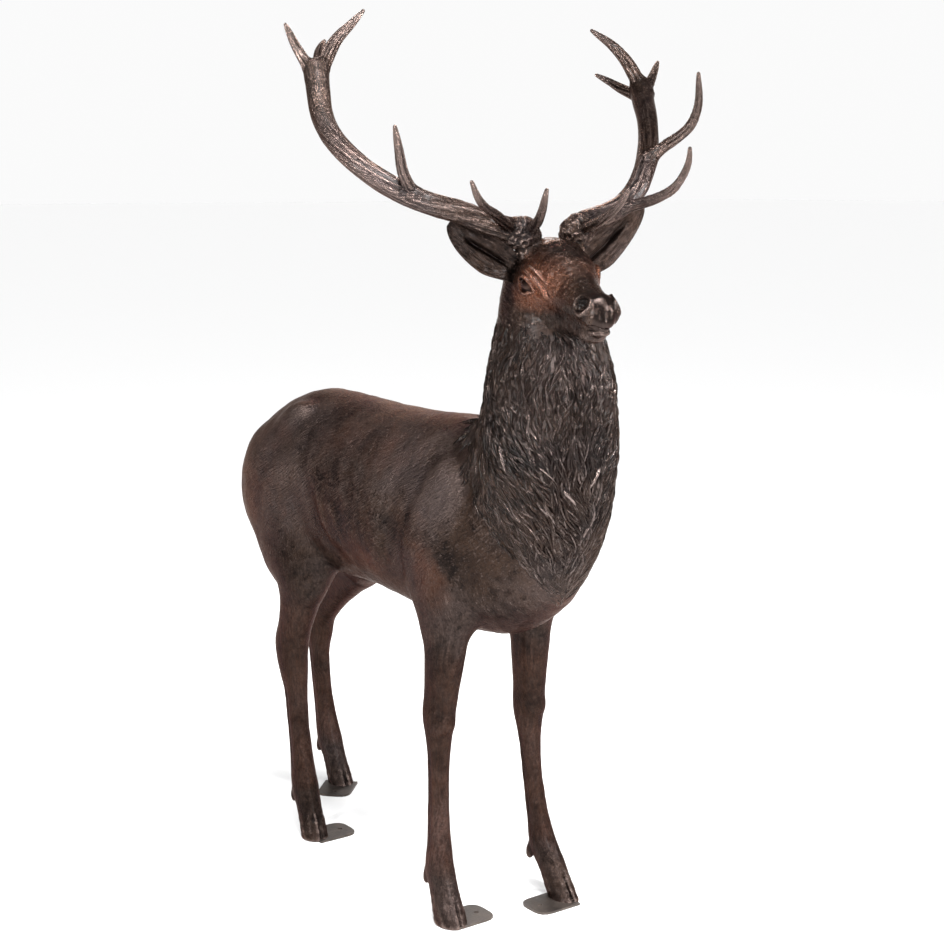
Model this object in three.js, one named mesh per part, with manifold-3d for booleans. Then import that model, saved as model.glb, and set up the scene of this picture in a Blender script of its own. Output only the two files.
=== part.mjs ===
// Life-size standing stag, one hollow bronze casting, with four drilled fixing tabs let into its soles.
// Millimetres. X runs forward, Y to the stag's left, Z up. The ground is Z = 0.
import * as THREE from 'three';
import { edgeTable, triTable } from 'three/addons/objects/MarchingCubes.js';
import Module from 'manifold-3d';

// sizes that drive the figure
const withersHeight = 1205;       // ground to the top of the back
const posedHeight = 1205;         // the height at which the pose further down is written
const unit = withersHeight / posedHeight;
const cell = 7;                   // grid step on which the skin is found, at the posed height
const skinFaces = 6050;           // faces kept on the skin of the body
const beamGirth = 47;             // thickness of an antler's beam at its middle
const rootGirth = 60;             // and just above the burr
const burrGirth = 82;             // thickness of the burr round an antler's base
const maneRelief = 8;             // how far the locks of the mane stand out
const maneLockWidth = 40;
const maneLockLength = 120;

// sizes of the fixing tabs, which keep their measure whatever the figure's height
const tabWidth = 96;
const tabLength = 118;            // from under the hoof out to the free end
const tabThickness = 6;
const tabCorner = 34;             // run of the rounded corners at the free end
const tabHole = 13;               // diameter, clear for a 12 mm bolt
const tabHoleInset = 30;          // hole centre back from the free end
const tabReach = 108;             // hoof centre to the free end
const tabFit = 0.3;               // gap between a tab and the recess in the sole
const soleOpening = 6;            // how far a recess runs past its tab on either side, out through the hoof

const wasm = await Module();
wasm.setup();

const axisX = new THREE.Vector3(1, 0, 0);
const axisY = new THREE.Vector3(0, 1, 0);
const axisZ = new THREE.Vector3(0, 0, 1);
const mix = (a, b, t) => a + (b - a) * t;
const clamp = (v, low, high) => Math.min(high, Math.max(low, v));
const easeBetween = (low, high, v) => {
  const t = clamp((v - low) / (high - low), 0, 1);
  return t * t * (3 - 2 * t);
};

// the head turns to the stag's right; points on it are written forward, left and up from between the ears,
// and the antlers and ears are set on it a little squarer to the body
const headAt = new THREE.Vector3(184, -14, 1561);
const facing = (degrees) => {
  const turn = THREE.MathUtils.degToRad(degrees);
  return {
    forward: axisX.clone().applyAxisAngle(axisZ, turn),
    left: axisY.clone().applyAxisAngle(axisZ, turn),
  };
};
const face = facing(-16);
const crown = facing(-12);
const placed = (set, forward, left, up) => headAt.clone()
  .addScaledVector(set.forward, forward)
  .addScaledVector(set.left, left)
  .addScaledVector(axisZ, up);
const onFace = (forward, left, up) => placed(face, forward, left, up);
const onCrown = (forward, left, up) => placed(crown, forward, left, up);

// a limb is a string of stations: where it passes, half its width across and half its depth
const station = (at, wide, deep) => ({ at, wide, deep });
const midStations = (rows) => rows.map(
  ([x, z, wide, deep]) => station(new THREE.Vector3(x, 0, z), wide, deep));
const headStations = (rows) => rows.map(([f, u, wide, deep]) => station(onFace(f, 0, u), wide, deep));
const footStations = (side, rows) => rows.map(
  ([x, y, z, wide, deep]) => station(new THREE.Vector3(x, y * side, z), wide, deep));

const torso = midStations([
  [-1015, 965, 108, 118], [-930, 974, 155, 172], [-790, 968, 190, 233], [-600, 958, 193, 238],
  [-450, 957, 200, 234], [-300, 953, 200, 240], [-150, 945, 186, 255], [0, 950, 162, 247],
  [100, 985, 132, 198], [165, 1030, 104, 130],
]);
const neck = midStations([
  [40, 940, 126, 132], [95, 1025, 138, 162], [132, 1120, 142, 178], [150, 1220, 130, 171],
  [152, 1310, 121, 161], [144, 1400, 109, 136], [128, 1480, 95, 107], [112, 1535, 77, 82],
]);
const skull = headStations([
  [-72, -20, 60, 68], [-10, -10, 77, 77], [50, -24, 74, 72], [110, -48, 55, 57],
  [165, -66, 45, 47], [212, -76, 41, 40], [243, -80, 36, 34],
]);
const jaw = headStations([
  [-30, -80, 52, 48], [60, -101, 40, 36], [150, -115, 31, 26], [208, -121, 27, 21],
]);

// legs: x along the stag, y out from the middle, z up, half width, half depth; they run on below the
// ground, which takes the soles flat
const rightForeleg = footStations(-1, [
  [-50, 105, 870, 60, 84], [-66, 118, 775, 58, 76], [-78, 124, 700, 49, 62], [-82, 128, 620, 42, 55],
  [-90, 131, 545, 37, 48], [-95, 133, 495, 38, 43], [-93, 135, 440, 31, 34], [-91, 137, 390, 26, 29],
  [-87, 141, 290, 25, 27], [-79, 145, 195, 27, 31], [-72, 148, 125, 33, 39], [-52, 150, 75, 33, 38],
  [-30, 152, 25, 36, 42], [-10, 153, -25, 37, 45],
]);
const leftForeleg = footStations(1, [
  [-50, 105, 870, 60, 84], [-66, 118, 775, 58, 76], [-78, 124, 700, 49, 62], [-81, 128, 620, 42, 54],
  [-86, 131, 530, 37, 47], [-92, 134, 470, 37, 42], [-92, 136, 420, 31, 33], [-90, 138, 370, 26, 28],
  [-82, 142, 280, 24, 26], [-68, 146, 195, 26, 29], [-50, 150, 125, 32, 36], [-18, 153, 75, 32, 34],
  [12, 154, 25, 33, 36], [44, 155, -25, 34, 38],
]);
const rightHindLeg = footStations(-1, [
  [-850, 90, 930, 90, 165], [-790, 110, 820, 85, 160], [-745, 125, 735, 70, 112], [-752, 130, 655, 52, 66],
  [-775, 132, 580, 42, 54], [-798, 132, 510, 40, 57], [-790, 132, 450, 36, 47], [-780, 132, 395, 30, 37],
  [-768, 133, 300, 28, 32], [-750, 134, 205, 30, 35], [-733, 135, 130, 34, 41], [-710, 136, 75, 32, 36],
  [-690, 137, 25, 34, 38], [-671, 138, -25, 35, 40],
]);
const leftHindLeg = footStations(1, [
  [-850, 90, 930, 90, 165], [-830, 110, 820, 85, 155], [-850, 125, 735, 72, 110], [-925, 130, 650, 52, 66],
  [-1010, 132, 580, 42, 54], [-1085, 132, 505, 40, 52], [-1098, 132, 440, 36, 44], [-1100, 132, 385, 29, 34],
  [-1092, 133, 300, 27, 30], [-1075, 134, 205, 29, 33], [-1053, 135, 130, 34, 39], [-1030, 136, 80, 32, 35],
  [-1006, 137, 25, 33, 36], [-983, 138, -25, 34, 38],
]);

// where each sole meets the ground, and the way its tab points as seen from above
const hoofs = {
  front_right: { x: -25, y: -152, tabTurn: 90 },
  front_left: { x: 32, y: 154, tabTurn: -90 },
  hind_right: { x: -680, y: -137, tabTurn: 90 },
  hind_left: { x: -996, y: 137, tabTurn: -45 },
};

// rounded lumps of muscle, bone and flesh: centre, half sizes along x, y and z, lean about y
const lump = (at, size, lean = 0) => ({ at, size, lean: THREE.MathUtils.degToRad(lean) });
const bothSides = (x, y, z, size, lean) => [
  lump(new THREE.Vector3(x, y, z), size, lean),
  lump(new THREE.Vector3(x, -y, z), size, lean),
];
const bothCheeks = (f, l, u, size) => [lump(onFace(f, l, u), size), lump(onFace(f, -l, u), size)];
const bodyLumps = [
  ...bothSides(-88, 128, 905, [118, 58, 205], -12),     // shoulder blade and its muscle
  ...bothSides(12, 72, 842, [68, 52, 88], 20),          // point of the shoulder
  ...bothSides(-80, 118, 775, [84, 50, 88], 0),         // upper arm
  ...bothSides(-118, 116, 712, [30, 28, 34], 0),        // elbow
  ...bothSides(-866, 104, 925, [186, 88, 184], 14),     // haunch
  ...bothSides(-785, 97, 800, [122, 74, 138], 0),       // thigh
  ...bothSides(-780, 112, 1128, [70, 44, 42], 24),      // hip bone
  lump(new THREE.Vector3(-1068, 0, 965), [38, 34, 105], 12),    // tail
  lump(new THREE.Vector3(44, 0, 853), [78, 72, 92], 0),         // brisket
];
const boneLumps = [
  lump(new THREE.Vector3(-846, -132, 532), [20, 16, 40], -12),  // points of the hocks
  lump(new THREE.Vector3(-1132, 132, 528), [20, 16, 38], -24),
  ...bothSides(-72, 136, 478, [24, 25, 24], 0),                 // knee caps
];
const hollows = [
  ...bothSides(-640, 214, 905, [72, 26, 92], 10),       // flank, in front of the haunch
  ...bothSides(-232, 208, 880, [26, 18, 120], -10),     // behind the shoulder
];
const faceLumps = [
  ...bothCheeks(-10, 46, -70, [54, 30, 50]),            // cheek
  ...bothCheeks(36, 60, -8, [38, 22, 17]),              // brow ridge
  ...bothCheeks(238, 25, -74, [26, 17, 24]),            // wing of the nostril
  lump(onFace(250, 0, -92), [22, 33, 20]),              // upper lip
  lump(onFace(212, 0, -128), [27, 26, 17]),             // chin
];
const pedicles = [onCrown(-20, 56, 48), onCrown(-20, -56, 48)].map((at) => lump(at, [28, 28, 34]));
const eyes = bothCheeks(44, 70, -36, [17, 15, 14]);
const eyeHollows = bothCheeks(62, 76, -44, [24, 14, 15]);
const nostrils = bothCheeks(258, 33, -66, [16, 13, 11]);

// distance field of the figure on a grid
const gridLow = new THREE.Vector3(-1200, -250, -28);
const gridHigh = new THREE.Vector3(530, 250, 1700);
const gridCount = gridHigh.clone().sub(gridLow).divideScalar(cell).ceil().addScalar(1);
const nx = gridCount.x;
const ny = gridCount.y;
const nz = gridCount.z;
const farAway = 400;
const field = new Float32Array(nx * ny * nz).fill(farAway);
const cellIndex = (i, j, k) => i + nx * (j + ny * k);

// smooth joining and cutting of two distances, over the width given
function join(a, b, soft) {
  const near = Math.max(soft - Math.abs(a - b), 0) / soft;
  return Math.min(a, b) - near * near * soft * 0.25;
}
const cut = (a, b, soft) => -join(-a, b, soft);

// distance to the skin of an egg-shaped body with half sizes a, b and c
function eggDistance(x, y, z, a, b, c) {
  const u = x / a;
  const v = y / b;
  const w = z / c;
  const k0 = Math.sqrt(u * u + v * v + w * w);
  const k1 = Math.sqrt((u / a) ** 2 + (v / b) ** 2 + (w / c) ** 2);
  return k1 < 1e-9 ? -Math.min(a, b, c) : (k0 * (k0 - 1)) / k1;
}

// run work over the grid points of a box
function overBox(low, high, work) {
  const i0 = Math.max(0, Math.floor((low.x - gridLow.x) / cell));
  const j0 = Math.max(0, Math.floor((low.y - gridLow.y) / cell));
  const k0 = Math.max(0, Math.floor((low.z - gridLow.z) / cell));
  const i1 = Math.min(nx - 1, Math.ceil((high.x - gridLow.x) / cell));
  const j1 = Math.min(ny - 1, Math.ceil((high.y - gridLow.y) / cell));
  const k1 = Math.min(nz - 1, Math.ceil((high.z - gridLow.z) / cell));
  for (let k = k0; k <= k1; k += 1) {
    for (let j = j0; j <= j1; j += 1) {
      for (let i = i0; i <= i1; i += 1) {
        work(cellIndex(i, j, k), gridLow.x + i * cell, gridLow.y + j * cell, gridLow.z + k * cell);
      }
    }
  }
}

// stations set closer along a smooth curve through the ones given
function smoothStations(stations, between) {
  const curve = new THREE.CatmullRomCurve3(stations.map((s) => s.at), false, 'centripetal');
  const girth = new THREE.CatmullRomCurve3(
    stations.map((s, i) => new THREE.Vector3(s.wide, s.deep, i * 30)), false, 'centripetal');
  const count = (stations.length - 1) * between;
  return Array.from({ length: count + 1 }, (_, i) => {
    const at = curve.getPoint(i / count);
    const size = girth.getPoint(i / count);
    return station(at, size.x, size.y);
  });
}

// join a limb to the figure
function addLimb(stations, soft, across = axisY) {
  const fine = smoothStations(stations, 3);
  const near = new Map();
  for (let n = 0; n + 1 < fine.length; n += 1) {
    const a = fine[n];
    const b = fine[n + 1];
    const along = b.at.clone().sub(a.at);
    const length = along.length();
    along.normalize();
    const side = across.clone().addScaledVector(along, -across.dot(along)).normalize();
    const depth = along.clone().cross(side);
    const reach = Math.max(a.wide, a.deep, b.wide, b.deep) + soft + cell;
    const low = a.at.clone().min(b.at).subScalar(reach);
    const high = a.at.clone().max(b.at).addScalar(reach);
    overBox(low, high, (index, x, y, z) => {
      const px = x - a.at.x;
      const py = y - a.at.y;
      const pz = z - a.at.z;
      const run = px * along.x + py * along.y + pz * along.z;
      const t = clamp(run / length, 0, 1);
      const wide = mix(a.wide, b.wide, t);
      const deep = mix(a.deep, b.deep, t);
      const past = run - t * length;
      const sideways = px * side.x + py * side.y + pz * side.z;
      const through = px * depth.x + py * depth.y + pz * depth.z;
      const d = eggDistance(sideways, through, past, wide, deep, Math.min(wide, deep));
      const before = near.get(index);
      if (before === undefined || d < before) near.set(index, d);
    });
  }
  for (const [index, d] of near) field[index] = join(field[index], d, soft);
}

// join or cut a lump
function shapeLump(form, soft, mixing) {
  const reach = Math.max(...form.size) + soft + cell;
  const low = form.at.clone().subScalar(reach);
  const high = form.at.clone().addScalar(reach);
  const cos = Math.cos(form.lean);
  const sin = Math.sin(form.lean);
  const [a, b, c] = form.size;
  overBox(low, high, (index, x, y, z) => {
    const dx = x - form.at.x;
    const dz = z - form.at.z;
    const d = eggDistance(dx * cos + dz * sin, y - form.at.y, dz * cos - dx * sin, a, b, c);
    field[index] = mixing(field[index], d, soft);
  });
}

// the two dew claws behind a fetlock
function addDewClaws(leg) {
  const { at } = leg.at(-4);
  for (const side of [-1, 1]) {
    shapeLump(lump(new THREE.Vector3(at.x - 29, at.y + 16 * side, at.z - 24), [12, 10, 27], -14), 8, join);
  }
}

addLimb(torso, 30);
addLimb(neck, 55);
for (const form of bodyLumps) shapeLump(form, 32, join);
for (const form of hollows) shapeLump(form, 40, cut);
const legs = [rightForeleg, leftForeleg, rightHindLeg, leftHindLeg];
for (const leg of legs) {
  addLimb(leg, 32);
  addDewClaws(leg);
}
for (const form of boneLumps) shapeLump(form, 16, join);

// the legs stop a little below the ground
const legsEnd = gridLow.z + 1.5 * cell;
overBox(gridLow, new THREE.Vector3(gridHigh.x, gridHigh.y, 0), (index, x, y, z) => {
  field[index] = Math.max(field[index], legsEnd - z);
});

// relief of the mane: columns of locks round the neck and chest, each lock rising towards its tip
function maneLift(x, y, z) {
  const middle = 80 + 30 * easeBetween(1000, 1250, z) - 20 * easeBetween(1250, 1450, z);
  const turn = Math.atan2(y, x - middle);
  const backEdge = mix(-20, 70, easeBetween(1450, 950, z)) + 25 * Math.sin(z * 0.02);
  const zone = easeBetween(900, 980, z) * (1 - easeBetween(1455, 1515, z))
    * easeBetween(backEdge - 40, backEdge + 50, x + 60);
  if (zone <= 0) return 0;
  const around = (turn * 150 + 9 * Math.sin(z * 0.035 + turn * 3)) / maneLockWidth;
  const column = Math.floor(around);
  const start = 0.5 + 0.5 * Math.sin(column * 12.9898);
  const down = (1520 - z + Math.abs(turn) * 34) / maneLockLength + start;
  const along = down - Math.floor(down);
  const across = Math.abs(around - column - 0.5) * 2;
  const ridge = Math.sqrt(Math.max(0, 1 - across ** 2));
  const tip = 1 - easeBetween(0.8, 1, along);
  return maneRelief * zone * ridge * mix(0.35, 1, along) * mix(0.2, 1, tip);
}
overBox(new THREE.Vector3(-80, -230, 880), new THREE.Vector3(420, 230, 1540), (index, x, y, z) => {
  if (Math.abs(field[index]) < 40) field[index] -= maneLift(x, y, z);
});

addLimb(skull, 34, face.left);
addLimb(jaw, 22, face.left);
for (const form of faceLumps) shapeLump(form, 16, join);
for (const form of pedicles) shapeLump(form, 18, join);
for (const form of eyeHollows) shapeLump(form, 12, cut);
for (const form of eyes) shapeLump(form, 4, join);
for (const form of nostrils) shapeLump(form, 5, cut);

// the skin: faces where the field changes sign
function findSkin() {
  const points = [];
  const faces = [];
  const known = new Map();
  const corner = [[0, 0, 0], [1, 0, 0], [1, 1, 0], [0, 1, 0], [0, 0, 1], [1, 0, 1], [1, 1, 1], [0, 1, 1]];
  const edge = [
    [0, 1], [1, 2], [3, 2], [0, 3], [4, 5], [5, 6], [7, 6], [4, 7], [0, 4], [1, 5], [2, 6], [3, 7],
  ];
  const edgeAxis = [0, 1, 0, 1, 0, 1, 0, 1, 2, 2, 2, 2];
  const value = new Float64Array(8);
  const at = new Array(12);
  for (let k = 0; k + 1 < nz; k += 1) {
    for (let j = 0; j + 1 < ny; j += 1) {
      for (let i = 0; i + 1 < nx; i += 1) {
        let kind = 0;
        for (let c = 0; c < 8; c += 1) {
          const [di, dj, dk] = corner[c];
          const v = field[cellIndex(i + di, j + dj, k + dk)];
          value[c] = Math.abs(v) < 1e-3 ? 1e-3 : v;
          if (value[c] > 0) kind |= 1 << c;
        }
        const crossed = edgeTable[kind];
        if (crossed === 0) continue;
        for (let e = 0; e < 12; e += 1) {
          if (!(crossed & (1 << e))) continue;
          const [c0, c1] = edge[e];
          const [i0, j0, k0] = corner[c0];
          const key = 3 * cellIndex(i + i0, j + j0, k + k0) + edgeAxis[e];
          if (!known.has(key)) {
            const t = value[c0] / (value[c0] - value[c1]);
            known.set(key, points.length / 3);
            const [i1, j1, k1] = corner[c1];
            points.push(
              gridLow.x + (i + mix(i0, i1, t)) * cell,
              gridLow.y + (j + mix(j0, j1, t)) * cell,
              gridLow.z + (k + mix(k0, k1, t)) * cell,
            );
          }
          at[e] = known.get(key);
        }
        for (let n = kind * 16; triTable[n] !== -1; n += 3) {
          faces.push([at[triTable[n]], at[triTable[n + 1]], at[triTable[n + 2]]]);
        }
      }
    }
  }
  return { points: Float64Array.from(points), faces };
}

// a heap that gives back the entry with the least cost first
class CheapestFirst {
  constructor() {
    this.items = [];
  }

  add(item) {
    const { items } = this;
    let at = items.length;
    items.push(item);
    while (at > 0) {
      const up = (at - 1) >> 1;
      if (items[up].cost <= item.cost) break;
      items[at] = items[up];
      at = up;
    }
    items[at] = item;
  }

  take() {
    const { items } = this;
    const first = items[0];
    const last = items.pop();
    const count = items.length;
    if (count === 0) return first;
    let at = 0;
    for (;;) {
      let down = 2 * at + 1;
      if (down >= count) break;
      if (down + 1 < count && items[down + 1].cost < items[down].cost) down += 1;
      if (items[down].cost >= last.cost) break;
      items[at] = items[down];
      at = down;
    }
    items[at] = last;
    return first;
  }
}

// the normal of a face, as long as twice its area
function faceNormal(p, a, b, c) {
  const ux = p[3 * b] - p[3 * a];
  const uy = p[3 * b + 1] - p[3 * a + 1];
  const uz = p[3 * b + 2] - p[3 * a + 2];
  const vx = p[3 * c] - p[3 * a];
  const vy = p[3 * c + 1] - p[3 * a + 1];
  const vz = p[3 * c + 2] - p[3 * a + 2];
  return [uy * vz - uz * vy, uz * vx - ux * vz, ux * vy - uy * vx];
}

// fold edges away, the ones that shift the skin least first, until the wanted number of faces is left
function thinOut({ points, faces }, wanted) {
  const count = points.length / 3;
  const p = points;
  const error = new Float64Array(count * 10);
  const around = Array.from({ length: count }, () => new Set());
  const age = new Int32Array(count);
  let left = faces.length;
  faces.forEach((face, f) => {
    const [a, b, c] = face;
    const n = faceNormal(p, a, b, c);
    const area = Math.hypot(...n);
    if (area > 0) {
      const [nx1, ny1, nz1] = n.map((v) => v / area);
      const d = -(nx1 * p[3 * a] + ny1 * p[3 * a + 1] + nz1 * p[3 * a + 2]);
      const plane = [nx1, ny1, nz1, d];
      let slot = 0;
      for (let r = 0; r < 4; r += 1) {
        for (let s = r; s < 4; s += 1) {
          for (const v of face) error[v * 10 + slot] += plane[r] * plane[s] * area;
          slot += 1;
        }
      }
    }
    for (const v of face) around[v].add(f);
  });
  const costAt = (q, x, y, z) => q[0] * x * x + q[4] * y * y + q[7] * z * z + q[9]
    + 2 * (q[1] * x * y + q[2] * x * z + q[3] * x + q[5] * y * z + q[6] * y + q[8] * z);
  function plan(a, b) {
    const q = new Float64Array(10);
    for (let s = 0; s < 10; s += 1) q[s] = error[a * 10 + s] + error[b * 10 + s];
    let best = null;
    const offer = (x, y, z) => {
      const cost = costAt(q, x, y, z);
      if (best === null || cost < best.cost) best = { cost, x, y, z };
    };
    const det = q[0] * (q[4] * q[7] - q[5] * q[5]) - q[1] * (q[1] * q[7] - q[5] * q[2])
      + q[2] * (q[1] * q[5] - q[4] * q[2]);
    const half = [0, 1, 2].map((s) => (p[3 * a + s] + p[3 * b + s]) / 2);
    offer(...half);
    const span = Math.hypot(...[0, 1, 2].map((s) => p[3 * a + s] - p[3 * b + s]));
    if (Math.abs(det) > 1e-6 * (q[0] + q[4] + q[7]) ** 3) {
      const x = -(q[3] * (q[4] * q[7] - q[5] * q[5]) - q[1] * (q[6] * q[7] - q[5] * q[8])
        + q[2] * (q[6] * q[5] - q[4] * q[8])) / det;
      const y = -(q[0] * (q[6] * q[7] - q[8] * q[5]) - q[3] * (q[1] * q[7] - q[5] * q[2])
        + q[2] * (q[1] * q[8] - q[6] * q[2])) / det;
      const z = -(q[0] * (q[4] * q[8] - q[5] * q[6]) - q[1] * (q[1] * q[8] - q[6] * q[2])
        + q[3] * (q[1] * q[5] - q[4] * q[2])) / det;
      if (Math.hypot(x - half[0], y - half[1], z - half[2]) < span * 1.5) offer(x, y, z);
    }
    return { ...best, cost: Math.max(best.cost, 0) + 1e-4 * span * span, a, b, stamp: age[a] + age[b] };
  }
  const neighbours = (v) => {
    const ring = new Set();
    for (const f of around[v]) for (const w of faces[f]) if (w !== v) ring.add(w);
    return ring;
  };
  function turnsOver(v, other, x, y, z) {
    for (const f of around[v]) {
      if (around[other].has(f)) continue;
      const [a, b, c] = faces[f];
      const before = faceNormal(p, a, b, c);
      const kept = [p[3 * v], p[3 * v + 1], p[3 * v + 2]];
      p.set([x, y, z], 3 * v);
      const after = faceNormal(p, a, b, c);
      p.set(kept, 3 * v);
      const dot = before[0] * after[0] + before[1] * after[1] + before[2] * after[2];
      if (dot < 0.25 * Math.hypot(...before) * Math.hypot(...after)) return true;
    }
    return false;
  }
  const queue = new CheapestFirst();
  for (const [a, b, c] of faces) {
    for (const [v, w] of [[a, b], [b, c], [c, a]]) if (v < w) queue.add(plan(v, w));
  }
  while (left > wanted && queue.items.length > 0) {
    const { a, b, x, y, z, stamp } = queue.take();
    if (around[a].size === 0 || around[b].size === 0 || stamp !== age[a] + age[b]) continue;
    const ringA = neighbours(a);
    const ringB = neighbours(b);
    if (!ringA.has(b)) continue;
    let shared = 0;
    for (const v of ringA) if (ringB.has(v)) shared += 1;
    if (shared !== 2 || turnsOver(a, b, x, y, z) || turnsOver(b, a, x, y, z)) continue;
    p.set([x, y, z], 3 * a);
    for (let s = 0; s < 10; s += 1) error[a * 10 + s] += error[b * 10 + s];
    for (const f of around[b]) {
      if (around[a].has(f)) {
        for (const v of faces[f]) if (v !== b) around[v].delete(f);
        faces[f] = null;
        left -= 1;
      } else {
        faces[f] = faces[f].map((v) => (v === b ? a : v));
        around[a].add(f);
      }
    }
    around[b].clear();
    age[a] += 1;
    for (const v of neighbours(a)) queue.add(plan(Math.min(a, v), Math.max(a, v)));
  }
  return { points: p, faces: faces.filter((face) => face !== null) };
}

// a body for joining and cutting, from points and faces; unused points are left behind
function solid({ points, faces }) {
  const used = new Map();
  const kept = [];
  const corners = faces.flat().map((v) => {
    if (!used.has(v)) {
      used.set(v, kept.length / 3);
      kept.push(points[3 * v], points[3 * v + 1], points[3 * v + 2]);
    }
    return used.get(v);
  });
  let volume = 0;
  for (let n = 0; n < corners.length; n += 3) {
    const [a, b, c] = [0, 1, 2].map((s) => new THREE.Vector3().fromArray(kept, corners[n + s] * 3));
    volume += a.dot(b.cross(c));
  }
  if (volume < 0) {
    for (let n = 0; n < corners.length; n += 3) [corners[n], corners[n + 1]] = [corners[n + 1], corners[n]];
  }
  return new wasm.Manifold(new wasm.Mesh({
    numProp: 3,
    vertProperties: Float32Array.from(kept),
    triVerts: Uint32Array.from(corners),
  }));
}

// a closed body from rings of points, each ring going round the same way
function loft(rings) {
  const across = rings[0].length;
  const points = rings.flat().flatMap((v) => [v.x, v.y, v.z]);
  const faces = [];
  for (let r = 0; r + 1 < rings.length; r += 1) {
    for (let s = 0; s < across; s += 1) {
      const a = r * across + s;
      const b = r * across + ((s + 1) % across);
      faces.push([a, b, b + across], [a, b + across, a + across]);
    }
  }
  for (const [ring, turn] of [[0, -1], [rings.length - 1, 1]]) {
    const middle = rings[ring].reduce((sum, v) => sum.add(v), new THREE.Vector3()).divideScalar(across);
    const centre = points.length / 3;
    points.push(middle.x, middle.y, middle.z);
    for (let s = 0; s < across; s += 1) {
      const a = ring * across + s;
      const b = ring * across + ((s + 1) % across);
      faces.push(turn > 0 ? [a, b, centre] : [b, a, centre]);
    }
  }
  return solid({ points, faces });
}

// a round horn swept along a curve through points on the head; girth gives its half thickness along the way
function horn(path, girth, rings, sides) {
  const curve = new THREE.CatmullRomCurve3(path.map((at) => onCrown(...at)), false, 'centripetal');
  const frames = curve.computeFrenetFrames(rings, false);
  return loft(Array.from({ length: rings + 1 }, (_, r) => {
    const t = r / rings;
    const middle = curve.getPointAt(t);
    const radius = girth(t);
    return Array.from({ length: sides }, (__, s) => {
      const turn = (2 * Math.PI * s) / sides;
      return middle.clone()
        .addScaledVector(frames.normals[r], radius * Math.cos(turn))
        .addScaledVector(frames.binormals[r], radius * Math.sin(turn));
    });
  }));
}

// antlers, written forward, out from the middle and up: six points each, three of them in the crown
const antlers = {
  left: {
    beam: [
      [-20, 54, 40], [-20, 59, 70], [-25, 83, 95], [-32, 118, 107], [-36, 158, 120], [-46, 200, 141],
      [-60, 235, 172], [-86, 268, 212], [-130, 301, 252], [-180, 331, 289], [-240, 360, 336],
      [-300, 384, 375], [-345, 402, 412],
    ],
    brow: [[-5, 62, 80], [68, 76, 103], [112, 86, 128], [135, 93, 148], [150, 97, 168]],
    bez: [
      [-32, 172, 127], [20, 208, 141], [50, 219, 149], [80, 233, 162], [105, 246, 183], [126, 257, 225],
      [133, 256, 257],
    ],
    trez: [
      [-95, 281, 232], [-85, 319, 266], [-65, 344, 287], [-45, 365, 315], [-30, 373, 357], [-10, 360, 425],
    ],
    crownInner: [[-325, 398, 395], [-370, 382, 465], [-385, 350, 507], [-390, 289, 546]],
    crownOuter: [[-325, 398, 392], [-370, 449, 445], [-390, 473, 477]],
    crownRear: [[-320, 393, 385], [-420, 384, 415], [-455, 372, 432], [-480, 351, 448]],
  },
  right: {
    beam: [
      [-20, 54, 40], [-20, 58, 67], [-25, 102, 84], [-35, 154, 102], [-45, 197, 119], [-55, 258, 136],
      [-68, 316, 157], [-100, 355, 182], [-140, 392, 214], [-190, 423, 257], [-235, 437, 296],
      [-275, 439, 336], [-310, 433, 381], [-348, 425, 432],
    ],
    brow: [[-5, 61, 80], [70, 75, 105], [110, 85, 129], [135, 92, 151], [150, 95, 169]],
    bez: [[-20, 95, 84], [50, 165, 116], [90, 210, 135], [115, 237, 156], [130, 256, 185]],
    trez: [[-70, 300, 152], [-45, 337, 203], [-30, 353, 255], [-15, 367, 299]],
    crownInner: [[-335, 428, 415], [-380, 365, 502], [-390, 327, 537], [-390, 296, 569]],
    crownOuter: [[-335, 430, 412], [-375, 460, 481], [-390, 481, 532]],
    crownRear: [[-330, 428, 408], [-430, 389, 479], [-480, 359, 507]],
  },
};
const tineGirth = { brow: 24, bez: 26, trez: 28, crownInner: 38, crownOuter: 30, crownRear: 30 };
const tipGirth = 13;
const tipRound = 0.94;            // share of a tine after which its blunt end rounds off

function antler(name, side) {
  const paths = antlers[name];
  const place = (path) => path.map(([f, l, u]) => [f, l * side, u]);
  const beamHalf = (t) => {
    const root = (1 - t) ** 6 * (rootGirth - beamGirth);
    const burr = Math.exp(-(((t - 0.06) / 0.025) ** 2)) * (burrGirth - rootGirth);
    const palm = easeBetween(0.7, 1, t) * 8;
    return (beamGirth + root + burr + palm) / 2;
  };
  let whole = horn(place(paths.beam), beamHalf, 24, 9);
  for (const [tine, thick] of Object.entries(tineGirth)) {
    const half = (t) => {
      const end = t < tipRound ? 1 : Math.sqrt(Math.max(0.12, 1 - ((t - tipRound) / (1 - tipRound)) ** 2));
      return (mix(thick, tipGirth, t ** 1.7) / 2) * end;
    };
    whole = whole.add(horn(place(paths[tine]), half, 8, 6));
  }
  return whole;
}

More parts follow.
